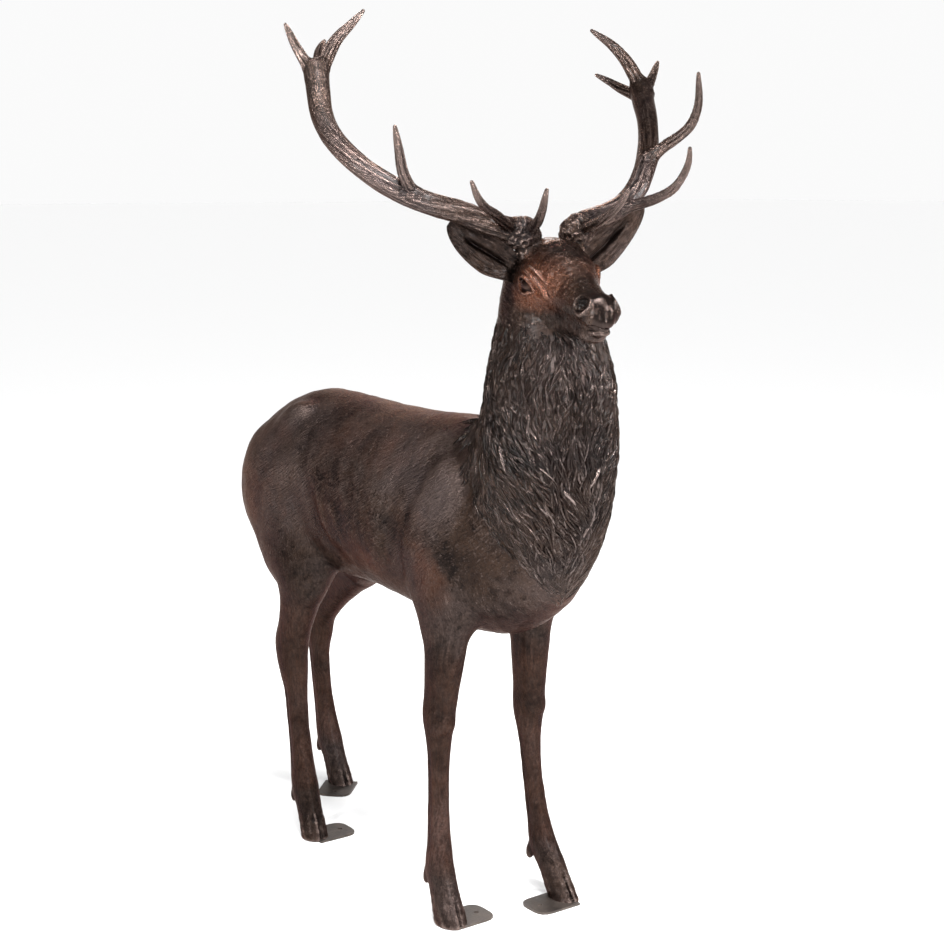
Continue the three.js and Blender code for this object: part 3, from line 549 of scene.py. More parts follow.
def makePiece(name, points, faces, marks, material):
    # a smooth mesh object of the casting, with its marks as point attributes
    mesh = bpy.data.meshes.new(name)
    mesh.vertices.add(len(points))
    mesh.vertices.foreach_set("co", (points * toMetres + poseShift).astype(np.float32).ravel())
    sides = faces.shape[1]
    mesh.loops.add(faces.size)
    mesh.loops.foreach_set("vertex_index", faces.astype(np.int32).ravel())
    mesh.polygons.add(len(faces))
    mesh.polygons.foreach_set("loop_start", np.arange(0, faces.size, sides, dtype=np.int32))
    mesh.update(calc_edges=True)
    mesh.validate()
    mesh.polygons.foreach_set("use_smooth", np.ones(len(mesh.polygons), bool))
    for key, values in marks.items():
        kind, content = ("FLOAT_VECTOR", "vector") if values.ndim == 2 else ("FLOAT", "value")
        mark = mesh.attributes.new(key, kind, "POINT")
        mark.data.foreach_set(content, values.astype(np.float32).ravel())
    mesh.materials.append(material)
    piece = addThing(name, mesh)
    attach(piece, "root")
    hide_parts("stag")
    print(name, "triangles", len(faces) * (sides - 2))


class Value:
    # one output of a node, which can be added, subtracted and multiplied like a number

    def __init__(self, shader, socketShade):
        self.shader = shader
        self.socketShade = socketShade

    def __add__(self, other):
        return self.shader.math("ADD", self, other)

    def __radd__(self, other):
        return self.shader.math("ADD", other, self)

    def __sub__(self, other):
        return self.shader.math("SUBTRACT", self, other)

    def __rsub__(self, other):
        return self.shader.math("SUBTRACT", other, self)

    def __mul__(self, other):
        return self.shader.math("MULTIPLY", self, other)

    def __rmul__(self, other):
        return self.shader.math("MULTIPLY", other, self)

    def between(self, low, high):
        # 0 below low and 1 above high, with an eased step
        return self.shader.node(
            "ShaderNodeMapRange", {"interpolation_type": "SMOOTHSTEP"},
            {"Value": self, "From Min": low, "From Max": high, "To Min": 0.0, "To Max": 1.0})

    def clamped(self):
        return self.shader.node("ShaderNodeClamp", {}, {"Value": self, "Min": 0.0, "Max": 1.0})


class Shader:
    # the nodes of a material or of the world

    def __init__(self, owner):
        self.owner = owner
        owner.use_nodes = True
        self.tree = owner.node_tree
        self.tree.nodes.clear()

    def node(self, kind, settings, values, output=0):
        made = self.tree.nodes.new(kind)
        for key, setting in settings.items():
            setattr(made, key, setting)
        for key, value in values.items():
            socketShade = made.inputs[key]
            if isinstance(value, Value):
                self.tree.links.new(value.socketShade, socketShade)
            elif isinstance(value, tuple) and len(value) == 3 and socketShade.type == "RGBA":
                socketShade.default_value = (*value, 1.0)
            else:
                socketShade.default_value = value
        return Value(self, made.outputs[output]) if made.outputs else None

    def math(self, operation, first, second):
        return self.node("ShaderNodeMath", {"operation": operation}, {0: first, 1: second})

    def blend(self, share, first, second):
        return self.node("ShaderNodeMix", {"data_type": "RGBA"}, {0: share, 6: first, 7: second}, 2)

    def mark(self, name, output=2):
        return self.node("ShaderNodeAttribute", {"attribute_name": name}, {}, output)

    def place(self):
        return self.node("ShaderNodeTexCoord", {}, {}, 3)

    def noise(self, vector, scale, detail=2.0, roughness=0.5, twist=0.0):
        return self.node("ShaderNodeTexNoise", {}, {
            "Vector": vector, "Scale": scale, "Detail": detail, "Roughness": roughness, "Distortion": twist})

    def bump(self, height, strength, distance):
        return self.node("ShaderNodeBump", {}, {"Strength": strength, "Distance": distance, "Height": height})

    def surface(self, values):
        shader = self.node("ShaderNodeBsdfPrincipled", {}, values)
        self.node("ShaderNodeOutputMaterial", {}, {"Surface": shader})
        return self.owner


def bronze(name, look):
    # patina: deep brown in the hollows, warm on face and legs, paler where hands and weather rub it; the same
    # marks also carry painted highlights on ridges and glints on the hair strokes, and painted shade in
    # hollows and between the strokes
    make = Shader(bpy.data.materials.new(name))
    place = make.place()
    warm, wearAndPaintedLight, drop, bare = (make.mark(key) for key in ("warm", "wearAndPaintedLight", "drop", "bare"))
    contrast = 1.0 - drop * look["calm"]
    cloud = 0.5 + (make.noise(place, patternScale["cloud"], 3.0, 0.55) - 0.5) * contrast
    patch = 0.5 + (make.noise(place, patternScale["patch"], 5.0, 0.65, 0.4) - 0.5) * contrast
    mottle = make.noise(place, patternScale["mottle"], 4.0, 0.7)
    fleck = make.noise(place, patternScale["fleck"], 3.0, 0.65)
    # strokes of hair, along the coat on the body and down the limbs
    grain, fall = (make.noise(make.mark(key, 1), 1.0, 3.0, 0.65, 0.25) for key in ("grain", "fall"))
    stroke = grain + drop * (fall - grain)
    base = make.blend((patch + (mottle - 0.5) * 0.6).between(0.34, 0.66), look["shade"], look["brown"])
    base = make.blend((cloud + (mottle - 0.5) * 0.3).between(0.44, 0.64) * 0.62, base, look["grey"])
    base = make.blend((mottle + (fleck - 0.5) * 0.8).between(0.44, 0.62) * 0.55, base, look["shade"])
    blush = (warm + (cloud - 0.5) * 0.75 + (patch - 0.5) * 0.6).clamped()
    base = make.blend(blush * 0.85, base, look["warm"])
    # pale where worn, and painted highlights: glints on the ridges of the hair strokes
    shine = (wearAndPaintedLight * 0.9 + stroke.between(0.54, 0.72) * look["paintedStrokeGlint"] + (fleck - 0.55) * 1.3).clamped()
    base = make.blend(shine * 0.6, base, look["paleWearAndGlint"])
    # dark patina in the hollows, and painted shade between the hair strokes
    hollow = ((0.0 - wearAndPaintedLight) + (0.46 - stroke) * 2.6 * (1.0 - bare)).clamped()
    base = make.blend(hollow * 0.75, base, look["shade"])
    base = make.blend(bare * 0.9, base, look["horn"])
    dull = (patch - 0.5) * 0.22 + (mottle - 0.5) * 0.25
    rough = (look["roughness"] + dull - shine * 0.12 - bare * 0.16).clamped()
    height = (stroke * look["stroke"] + (mottle * 0.7 + fleck * 0.28) * look["grit"]) * (1.0 - bare * 0.85)
    return make.surface({
        "Base Color": base, "Roughness": rough, "Metallic": look["metallic"],
        "Normal": make.bump(height, 0.85, look["relief"]), "Specular IOR Level": 0.25,
        "Specular Tint": look["edge"], "Coat Weight": look["coat"], "Coat Roughness": 0.25})


def grainOf(points, angle, along=34.0, across=5.5):
    # coordinates squeezed along the lie of the hair, which runs back and down at the angle given
    wobble = np.stack([noise(points, 90, seed) for seed in (3, 4, 5)], 1) * 14
    moved = points + wobble
    turn = math.radians(angle)
    run = -moved[:, 0] * math.cos(turn) - moved[:, 2] * math.sin(turn)
    rise = -moved[:, 0] * math.sin(turn) + moved[:, 2] * math.cos(turn)
    return np.stack([run / along, rise / across, moved[:, 1] / (across * 1.6)], 1)


# folds of the body: points (x, z) on its side, half width, depth
creases = [
    ([(-96, 1105), (-118, 1040), (-160, 965), (-190, 890), (-198, 800), (-190, 730)], 18, 3.0),
    ([(-655, 1110), (-625, 1010), (-570, 910), (-505, 830), (-470, 770)], 24, 3.2),
    ([(-505, 830), (-600, 770), (-660, 740)], 18, 2.6),
    ([(60, 1060), (30, 960), (-10, 870), (-40, 800), (-60, 740)], 24, 2.2),
    ([(-780, 1060), (-850, 960), (-880, 860), (-860, 780)], 30, 2.6),
    ([(-980, 930), (-955, 830), (-900, 740), (-850, 660)], 22, 2.6),
]
bodyWaves = [(120, 5, 2.2), (60, 1, 1.5), (26, 2, 0.8)]      # size across, seed, height in mm


def nearLine(px, pz, line):
    # how far each point is from a line of straight pieces, seen from the side
    best = np.full(len(px), 1e9)
    for (ax, az), (bx, bz) in zip(line, line[1:]):
        dx, dz = bx - ax, bz - az
        t = np.clip(((px - ax) * dx + (pz - az) * dz) / (dx * dx + dz * dz), 0, 1)
        best = np.minimum(best, (px - ax - t * dx) ** 2 + (pz - az - t * dz) ** 2)
    return np.sqrt(best)


def bodyRelief(points, normals):
    # folds, ribs and the uneven hand-worked surface, in millimetres outwards
    x, y, z = points.T
    lift = np.zeros(len(points))
    flank = ease(50, 110, np.abs(y))
    for line, width, depth in creases:
        away = nearLine(x, z, line)
        lift -= flank * depth * figure["creaseDepth"] * bell(away / width)
        lift += flank * depth * 0.15 * bell((away - 2.2 * width) / width)
    ribs = ease(-600, -480, x) * (1 - ease(-300, -215, x)) * ease(760, 850, z) * (1 - ease(1030, 1110, z))
    ripple = np.sin((x + 0.30 * z) / 11) * (0.6 + noise(points, 130, 6))
    lift += ribs * flank * figure["ribHeight"] * ripple
    lift -= 6 * flank * bell((x + 780) / 62, (z - 1128) / 42)     # keeps the point of the hip low
    for size, seed, height in bodyWaves:
        lift += height * noise(points, size, seed)
    return lift


def marksOf(points, wearAndPaintedLight, warm, fall=None, drop=None, grain=None, bare=None):
    return {
        "bare": np.zeros(len(points)) if bare is None else bare,
        "warm": warm,
        "wearAndPaintedLight": wearAndPaintedLight,
        "grain": grainOf(points, 32, 30, 4.6) if grain is None else grain,
        "fall": grainOf(points, 90, 42, 5) if fall is None else fall,
        "drop": ease(930, 790, points[:, 2]) if drop is None else drop,
    }


def inFace(points):
    return ((points - headAt) @ face.T).T


# redder places of the patina on the body: x, z, half length, half height, amount
warmPlaces = {
    "flank": (-390, 845, 150, 75, 0.30),
    "shoulder": (-60, 845, 80, 90, 0.26),
    "loin": (-420, 1110, 260, 60, 0.22),
    "haunch": (-900, 980, 120, 130, 0.20),
}


def warmth(points):
    # how red the patina is, most of all on the face, then on the body's warm places and the shins
    x, y, z = points.T
    f, l, u = inFace(points)
    warm = 1.05 * bell((f - 62) / 80, (u + 38) / 58) * ease(1440, 1490, z)
    for placeX, placeZ, halfLength, halfHeight, amount in warmPlaces.values():
        warm = warm + amount * bell((x - placeX) / halfLength, (z - placeZ) / halfHeight)
    shin = 0.22 * ease(760, 600, z) * ease(70, 160, z)
    return warm + shin - 0.12


skinBronze = bronze("bronze_skin", patina)
maneBronze = bronze("bronze_mane", manePatina)
headBronze = bronze("bronze_head", headPatina)
antlerBronze = bronze("bronze_antler", antlerPatina)


def noMarks(points):
    return {}


def makeSkin(name, low, high, step, keep, relief, add=(), ridgeWearAndSheen=0.8, material=skinBronze, extraMarks=noMarks):
    # one part of the skin: the field's surface where keep says so, with its relief and its marks
    field = Field(low, high, step)
    addBody(field)
    addHead(field)
    for extra in add:
        extra(field)
    points, faces = field.skin()
    points, faces = keepFaces(points, faces, keep(points))
    normals = pointNormals(points, faces)
    lift, paintedShadeAndGlint = relief(points, normals)
    points = points + normals * lift[:, None]
    normals = pointNormals(points, faces)
    # pale where the skin stands out and dark where it sinks: worn patina, with painted highlights and painted
    # shade
    wearAndPaintedLight = np.clip(standOut(points, faces, normals, 6) / 2.2, -1, 1) * ridgeWearAndSheen + paintedShadeAndGlint
    z = points[:, 2]
    wearAndPaintedLight = wearAndPaintedLight * ease(0, 45, np.abs(z - legTop))
    # painted sheen along the lit top of the back
    wearAndPaintedLight = wearAndPaintedLight + figure["paintedBackSheen"] * ease(900, 1060, z) * ease(1420, 1330, z)
    wearAndPaintedLight = wearAndPaintedLight - figure["darkLegs"] * ease(820, 640, z) * mix(0.6, 1, ease(40, 130, z))
    makePiece(name, points, faces, marksOf(points, wearAndPaintedLight, warmth(points), **extraMarks(points)), material)
    return field, points


def trunkRelief(points, normals):
    lift = bodyRelief(points, normals)
    # the second value is slight: painted shade in the folds and painted sheen on the swellings
    return lift * (1 - ease(1300, 1420, points[:, 2])) * ease(600, 660, points[:, 2]), lift * 0.012


def underChin(points):
    # the head's own skin reaches lower in front of the throat
    return (points[:, 0] > 310) & (points[:, 2] > 1398)


legTop, headFoot, overlap = figure["legTop"], figure["headFoot"], figure["overlap"]
trunkField, trunkPoints = makeSkin(
    "stag_trunk", (-1190, -240, legTop - 40), (530, 240, headFoot + 50), figure["trunkCell"],
    lambda p: (p[:, 2] > legTop - overlap) & (p[:, 2] < headFoot + overlap) & ~underChin(p), trunkRelief,
    ridgeWearAndSheen=0.35)


# legs, cleft hoofs and their ridges
def cleave(leg):
    def addCleft(field):
        front = [(x + deep, y, z, figure["cleft"]) for x, y, z, wide, deep in leg[-3:]]
        front[0] = (*front[0][:3], 0.6)         # it runs out above the hoof
        back = [(x - deep + 1, y, z, figure["cleft"]) for x, y, z, wide, deep in leg[-3:]]
        field.tube(front, 6, cut)
        field.tube(back, 6, cut)
        # nothing reaches below the ground
        field.value = np.maximum(field.value, -field.axes[2][None, None, :])
    return addCleft


def legRelief(leg):
    # ridges round the hoof, and hollows beside the tendons of the shin
    def relief(points, normals):
        x, y, z = points.T
        rising = leg[np.argsort(leg[:, 2])]
        centreX, centreY = (np.interp(z, rising[:, 2], rising[:, axis]) for axis in (0, 1))
        turn = np.arctan2(y - centreY, x - centreX)
        hoof = ease(100, 50, z)
        ridges = np.sin(turn * 9 + 2.2 * noise(points, 60, 7)) * noise(points, 35, 14)
        lift = hoof * figure["hoofRidges"] * ridges
        lift += hoof * 0.4 * np.sin(z / 3.4 + noise(points, 30, 8))
        shin = ease(150, 210, z) * ease(440, 380, z)
        tendon = bell((np.abs(turn) - 1.75) / 0.30)
        lift -= shin * figure["tendonHollow"] * tendon
        lift += 0.7 * noise(points, 40, 9) + 0.4 * noise(points, 15, 10)
        lift *= ease(0.5, 6, z) * ease(legTop + 4, legTop - 40, z)
        # the second value: painted highlights on the hoof's ridges, painted shade between them, and glints
        # low on the hoof
        return lift, hoof * 0.30 * ridges + 0.10 * ease(140, 60, z)
    return relief


for name, leg in legs.items():
    middle = leg[leg[:, 2] < legTop + 60]
    low = middle[:, :3].min(0) - 80
    high = middle[:, :3].max(0) + 80
    low[2], high[2] = -14, legTop + 40
    makeSkin("stag_leg_" + name, low, high, figure["legCell"],
             lambda p: p[:, 2] < legTop + overlap, legRelief(leg), [cleave(leg)])


# the head
def headGrain(points):
    # the short coat runs along the muzzle and turns down the cheek
    f, l, u = inFace(points)
    run = f + 0.35 * np.abs(l) + 7 * noise(points, 45, 41)
    around = u + 0.30 * f + 7 * noise(points, 38, 42)
    return np.stack([run / 15, around / 3.4, l / 4.2], 1)


def headBare(points):
    # no hair on the nose and the eyeball
    f, l, u = inFace(points)
    nose = ease(228, 250, f) * ease(-122, -112, u) * ease(31, 25, np.abs(l))
    return np.maximum(nose, ease(18, 14, eyeDistance(f, u)))


def headMarks(points):
    return {"grain": headGrain(points), "drop": ease(1490, 1440, points[:, 2]), "bare": headBare(points)}


def headRelief(points, normals):
    # the short coat, which stops at the nose and round the eye; painted shade as dark rings in the eye socket
    # and the nostril's hole, a painted highlight on the nostril's rim, and a little paler on the tufts
    f, l, u = inFace(points)
    bare = np.maximum(ease(205, 232, f), ease(28, 20, eyeDistance(f, u)))
    tuft = ease(40, -10, f) * ease(-40, 10, u) + 0.35 * ease(1500, 1445, points[:, 2])
    lift = 0.45 * noise(headGrain(points), 1.6, 12) + 0.35 * noise(points, 9, 13)
    lift += 2.0 * tuft * noise(headGrain(points), 2.6, 14)
    eyeAway = np.sqrt(((f - eyeForward - 1) / 1.2) ** 2 + (u - eyeUp) ** 2)
    hole = np.sqrt(((f - nostrilForward) / 25) ** 2 + ((u - nostrilUp) / 22) ** 2)
    outside = ease(20, 28, np.abs(l))
    # painted highlight on the nostril's rim, painted shade in its hole
    nostrilRimAndShade = outside * (0.60 * bell((hole - 1.0) / 0.16) - 0.9 * ease(0.95, 0.7, hole))
    # painted shade in a ring round the eyeball
    socketShade = -0.9 * bell((eyeAway - 14.5) / 2.6) - 0.25 * ease(15, 10, eyeAway)
    return lift * (1 - bare), socketShade + nostrilRimAndShade + 0.10 * tuft


_, headPoints = makeSkin(
    "stag_head", (-24, -150, headFoot - 75), (490, 130, 1705), figure["headCell"],
    lambda p: (p[:, 2] > headFoot - overlap) | underChin(p + [9, 0, 9]), headRelief, [addFace],
    material=headBronze, extraMarks=headMarks)


# antlers: points forward, out and up from between the ears, on the left (1) and on the right (-1)
antlers = {
    1: {
        "beam": [
            (-20, 54, 40), (-20, 59, 70), (-25, 83, 95), (-32, 118, 107), (-36, 158, 120), (-46, 200, 141),
            (-60, 235, 172), (-86, 268, 212), (-130, 301, 252), (-180, 331, 289), (-240, 360, 336),
            (-300, 384, 375), (-345, 402, 412)],
        "brow": [(-5, 62, 80), (68, 76, 103), (112, 86, 128), (135, 93, 148), (150, 97, 168)],
        "bez": [
            (-32, 172, 127), (20, 208, 141), (50, 219, 149), (80, 233, 162), (105, 246, 183),
            (126, 257, 225), (133, 256, 257)],
        "trez": [
            (-95, 281, 232), (-85, 319, 266), (-65, 344, 287), (-45, 365, 315), (-30, 373, 357),
            (-10, 360, 425)],
        "crownInner": [(-325, 398, 395), (-370, 382, 465), (-385, 350, 507), (-390, 289, 546)],
        "crownOuter": [(-325, 398, 392), (-370, 449, 445), (-390, 473, 477)],
        "crownRear": [(-320, 393, 385), (-420, 384, 415), (-455, 372, 432), (-480, 351, 448)],
    },
    -1: {
        "beam": [
            (-20, 54, 40), (-20, 58, 67), (-25, 102, 84), (-35, 154, 102), (-45, 197, 119), (-55, 258, 136),
            (-68, 316, 157), (-100, 355, 182), (-140, 392, 214), (-190, 423, 257), (-235, 437, 296),
            (-275, 439, 336), (-310, 433, 381), (-348, 425, 432)],
        "brow": [(-5, 61, 80), (70, 75, 105), (110, 85, 129), (135, 92, 151), (150, 95, 169)],
        "bez": [(-20, 95, 84), (50, 165, 116), (90, 210, 135), (115, 237, 156), (130, 256, 185)],
        "trez": [(-70, 300, 152), (-45, 337, 203), (-30, 353, 255), (-15, 367, 299)],
        "crownInner": [(-335, 428, 415), (-380, 365, 502), (-390, 327, 537), (-390, 296, 569)],
        "crownOuter": [(-335, 430, 412), (-375, 460, 481), (-390, 481, 532)],
        "crownRear": [(-330, 428, 408), (-430, 389, 479), (-480, 359, 507)],
    },
}
# thickness in mm of the tines, of the beam at its middle and its root, of the burr and of the tips
tineGirth = {"brow": 24, "bez": 26, "trez": 28, "crownInner": 38, "crownOuter": 30, "crownRear": 30}
beamGirth, rootGirth, burrGirth, tipGirth = 47, 60, 82, 13
paintedCrownGlare = {1: 0.04, -1: 0.36}          # painted glare of the light: how much lighter each antler gets towards its crown
antlerRelief = {"ridges": 1.5, "pearls": 0.9, "burr": 2.0}      # heights in mm
beamRings, tineRings = 56, 18


def sideName(side):
    return "left" if side > 0 else "right"


def hornStations(path, side, girth, count):
    # evenly spaced stations along a smooth curve through the path's points
    corners = np.array([onCrown(f, l * side, u) for f, l, u in path])
    dense = np.array([curvePoint(corners, s) for s in np.linspace(0, 1, 240)])
    run = np.concatenate([[0], np.cumsum(np.linalg.norm(np.diff(dense, axis=0), axis=1))])
    shares = np.linspace(0, 1, count)
    spots = np.stack([np.interp(shares * run[-1], run, dense[:, a]) for a in range(3)], 1)
    half = np.array([girth(t) for t in shares])
    return np.column_stack([spots, half, half])


def beamHalf(t):
    root = (1 - t) ** 6 * (rootGirth - beamGirth)
    burr = math.exp(-((t - 0.06) / 0.02) ** 2) * (burrGirth - rootGirth)
    return (beamGirth + root + burr + 8 * float(ease(0.7, 1, t))) / 2


def tineHalf(thick):
    def half(t):
        flare = 5 * max(0, 1 - t / 0.18) ** 2
        point = 2.0 * max(0, (t - 0.8) / 0.2) ** 2
        return mix(thick, tipGirth, t ** 1.3) / 2 + flare - point
    return half


def makeAntler(side):
    horns = [hornStations(antlers[side]["beam"], side, beamHalf, beamRings)]
    for tine, thick in tineGirth.items():
        horns.append(hornStations(antlers[side][tine], side, tineHalf(thick), tineRings))
    spots = np.concatenate(horns)
    field = Field(spots[:, :3].min(0) - 50, spots[:, :3].max(0) + 50, figure["antlerCell"])
    for horn in horns:
        field.limb(horn, 9, slant, 1)
    points, faces = field.skin()
    normals = pointNormals(points, faces)
    # where each point lies along its horn and round it; each horn's grooves start somewhere else
    best = np.full(len(points), 1e9)
    run, share, burr = np.zeros((3, len(points)))
    turn = np.zeros((len(points), 3))
    for number, horn in enumerate(horns):
        travelled = 0.0
        for n, (a, b) in enumerate(zip(horn, horn[1:])):
            along = b[:3] - a[:3]
            length = np.linalg.norm(along)
            along = along / length
            away = points - a[:3]
            t = np.clip(away @ along / length, 0, 1)
            offset = away - np.outer(t * length, along)
            distance = np.linalg.norm(offset, axis=1)
            depth = distance - mix(a[3], b[3], t)
            closer = depth < best
            best = np.where(closer, depth, best)
            run = np.where(closer, travelled + t * length + 977 * number, run)
            reached = (n + t) / (len(horn) - 1)
            share = np.where(closer, reached, share)
            turn = np.where(closer[:, None], offset / np.maximum(distance, 1e-6)[:, None], turn)
            collar = (number == 0) * np.exp(-(reached / 0.06 - 1) ** 2 / 0.12)
            burr = np.where(closer, collar, burr)
            travelled += length
    smooth = 1 - ease(0.55, 0.95, share)
    groove = noise(turn * 24 + np.outer(run * 0.040, [1, 1, 1]), 7.5, 21)
    ridge = 0.8 - 2.2 * np.abs(groove)
    pearl = noise(points, 9.5, 22) * ease(420, 60, run)
    lift = smooth * (antlerRelief["ridges"] * ridge + antlerRelief["pearls"] * pearl)
    lift += burr * antlerRelief["burr"] * noise(points, 11, 23)
    points = points + normals * lift[:, None]
    normals = pointNormals(points, faces)
    # pale on the ridges and dark in the grooves: worn patina with painted highlights and painted shade
    wearAndPaintedLight = np.clip(standOut(points, faces, normals, 5) / 1.2, -1, 1) * 1.1 - 0.22
    # painted glare: the right antler lighter towards its crown, where the light falls on it
    wearAndPaintedLight = wearAndPaintedLight + paintedCrownGlare[side] * ease(60, 330, points[:, 2] - headAt[2])
    along = np.stack([turn[:, 0] * 6 + run / 60, turn[:, 1] * 6, turn[:, 2] * 6 + run / 70], 1)
    warm = np.full(len(points), -0.1)
    marks = marksOf(points, wearAndPaintedLight, warm, along, np.ones(len(points)))
    makePiece("stag_antler_" + sideName(side), points, faces, marks, antlerBronze)


for side in (1, -1):
    makeAntler(side)


# ears: cupped leaves with a rolled rim and combed hair inside
ears = {
    "width": 92, "thickness": 11, "rings": 70, "across": 44,
    "tips": {1: (-88, 264, 134), -1: (-92, 212, 98)},
}


def makeEar(side):
    # rings of points from the root to the tip; t runs along the ear and turn round it
    root = onCrown(-48, 64 * side, -14)
    tipForward, tipOut, tipUp = ears["tips"][side]
    reach = onCrown(tipForward, tipOut * side, tipUp) - root
    along = unit(reach)
    opening = crown[0] + crown[1] * 0.12 * side
    opening = unit(opening - along * np.dot(opening, along))
    across = np.cross(along, opening)
    rings, spread = ears["rings"], ears["across"]
    t = np.linspace(0, 1, rings + 1)[:, None]
    turn = np.linspace(0, 2 * math.pi, 2 * spread, endpoint=False)[None, :]
    s = np.cos(turn)
    half = ears["width"] / 2 * mix(0.62, 1, ease(0, 0.42, t)) * np.sqrt(1 - (0.985 * t) ** 3.2)
    cup = half * mix(0.9, 0.3, ease(0, 0.8, t))
    thick = ears["thickness"] * mix(1.3, 0.75, t)
    rim = bell((np.abs(s) - 0.93) / 0.07)
    inside = np.clip(np.sin(turn) * 4, 0, 1)
    ragged = s * 17 + 4 * np.sin(t * 7) + 2.5 * np.sin(t * 19 + s * 5)
    comb = np.sin(ragged) * inside * (1 - rim) * ease(0.02, 0.2, t)
    flaps = inside * cup * 0.55 * (1 - s * s) ** 1.2 * ease(0, 0.15, t)
    slit = inside * bell((s - 0.10 * np.sin(5 * t)) / 0.12) * ease(0.12, 0.3, t) * (1 - ease(0.62, 0.8, t))
    lift = np.sin(turn) * thick / 2 + 0.45 * comb + flaps - 15 * slit + rim * inside * 1.6
    middle = root + reach * t[..., None] + across * (6 * side * np.sin(math.pi * t))[..., None]
    outwards = across * (half * s)[..., None] + opening * (cup * (s * s - 0.5) + lift)[..., None]
    points = (middle + outwards).reshape(-1, 3)
    ring = np.arange(2 * spread)
    band = np.stack([ring, np.roll(ring, -1), np.roll(ring, -1) + 2 * spread, ring + 2 * spread], 1)
    faces = np.concatenate([band + r * 2 * spread for r in range(rings)])
    if np.einsum("ij,ij->i", pointNormals(points, faces), points - points.mean(0)).mean() < 0:
        faces = faces[:, ::-1]
    shape = np.broadcast_to(s, comb.shape)
    # paler on the combed hair and the rim, painted highlights; dark in the slit, painted shade in the ear's
    # fold
    wearAndPaintedLight = (0.22 * comb + 0.16 * rim * np.ones_like(t) - 1.0 * slit - 0.10).ravel()
    streak = np.stack([(shape * 9).ravel(), np.broadcast_to(t * 5, comb.shape).ravel(),
                       (inside * np.ones_like(t)).ravel() * 3], 1)
    warm = np.full(len(points), -0.15)
    marks = marksOf(points, wearAndPaintedLight, warm, streak, np.ones(len(points)))
    makePiece("stag_ear_" + sideName(side), points, faces, marks, skinBronze)


for side in (1, -1):
    makeEar(side)


lockSteps = 9                           # parts along a lock
lockSpread = np.array([-1, -0.55, 0.0, 0.55, 1])        # a lock's section: across, and up
lockCrest = np.array([-0.55, 0.62, 1.0, 0.50, -0.55])


def layLocks(layer, field, roots):
    # locks of hair laid on a skin, each a tapering ridge that follows the lie of the mane
    rng = np.random.default_rng(layer["seed"])
    count = len(roots)
    length, width, height, curl = lockSizes(layer, roots, rng)
    place = roots.copy()
    bend = rng.normal(0, 1, count)
    phase = rng.uniform(0, 2 * math.pi, count)
    paths, tops, sides = [], [], []
    heading = maneFlow(place)
    for step in range(lockSteps + 1):
        share = step / lockSteps
        normal, _ = field.slope(place)
        heading = mix(heading, maneFlow(place), 0.35)
        heading = unit(heading - normal * np.einsum("ij,ij->i", heading, normal)[:, None])
        sideways = np.cross(normal, heading)
        sway = curl * (bend * (share - 0.25) * 1.1 + np.sin(phase + share * 4.2) * 0.7)
        going = unit(heading + sideways * sway[:, None])
        paths.append(place.copy())
        tops.append(normal)
        sides.append(np.cross(normal, going))
        place = field.settle(place + going * (length / lockSteps)[:, None], 1)
    share = np.linspace(0, 1, lockSteps + 1)
    taper = mix(0.5, 1, ease(0, 0.35, share)) * np.sqrt(np.clip(1 - ease(0.35, 1.02, share) ** 1.4, 0, 1))
    crestAt = ease(0, 0.45, share) * (1 - ease(0.5, 1.05, share))
    tip = rng.uniform(0.0, 0.75, count)[:, None] * ease(0, 0.6, share) * (1 - 0.5 * ease(0.8, 1, share))
    rise = mix(-0.1, 1, np.maximum(crestAt[None, :], tip))
    paths, tops, sides = (np.stack(v, 1)[:, :, None, :] for v in (paths, tops, sides))
    aside = (width[:, None] / 2 * taper)[:, :, None] * lockSpread
    lean = rng.uniform(-0.35, 0.35, count)[:, None, None]
    lift = (height[:, None] * rise)[:, :, None] * (lockCrest + lean * lockSpread) - layer["sink"]
    points = paths + sides * aside[..., None] + tops * lift[..., None]
    rows, columns = lockSteps + 1, len(lockSpread)
    grid = np.arange(rows * columns).reshape(rows, columns)
    patch = np.stack([grid[:-1, :-1], grid[:-1, 1:], grid[1:, 1:], grid[1:, :-1]], -1).reshape(-1, 4)
    faces = (patch[None] + (np.arange(count) * rows * columns)[:, None, None]).reshape(-1, 4)
    points = points.reshape(-1, 3)
    full = (count, rows, columns)
    outwards = np.broadcast_to(tops, (*full, 3)).reshape(-1, 3)
    if np.einsum("ij,ij->i", pointNormals(points, faces), outwards).mean() < 0:
        faces = faces[:, ::-1]
    tone = rng.normal(0, 1, count)[:, None, None]
    # painted glints on the crests of the locks and painted shade at their sunk edges; tone differs at random
    # from lock to lock
    ridge = np.broadcast_to((lockCrest - 0.55)[None, None, :], full) * rise[:, :, None]
    wearAndPaintedLight = (0.98 * ridge * ease(0.1, 0.5, share)[None, :, None] + 0.18 * tone - 0.26).reshape(-1)
    strand = np.stack([
        np.broadcast_to(lockSpread * 3.4, full).reshape(-1) + np.repeat(tone.ravel() * 30, rows * columns),
        np.broadcast_to((share * 2.2)[None, :, None], full).reshape(-1),
        np.repeat(phase * 9, rows * columns)], 1)
    marks = marksOf(points, wearAndPaintedLight, warmth(points), strand, np.ones(len(points)))
    makePiece(layer["name"], points, faces, marks, maneBronze)


def spaced(points, spacing, seed):
    # a thinned choice of the points, about one in each block of the spacing
    rng = np.random.default_rng(seed)
    order = rng.permutation(len(points))
    blocks = np.floor(points[order] / spacing).astype(int)
    _, first = np.unique(blocks, axis=0, return_index=True)
    chosen = points[order[first]]
    return chosen[rng.permutation(len(chosen))]


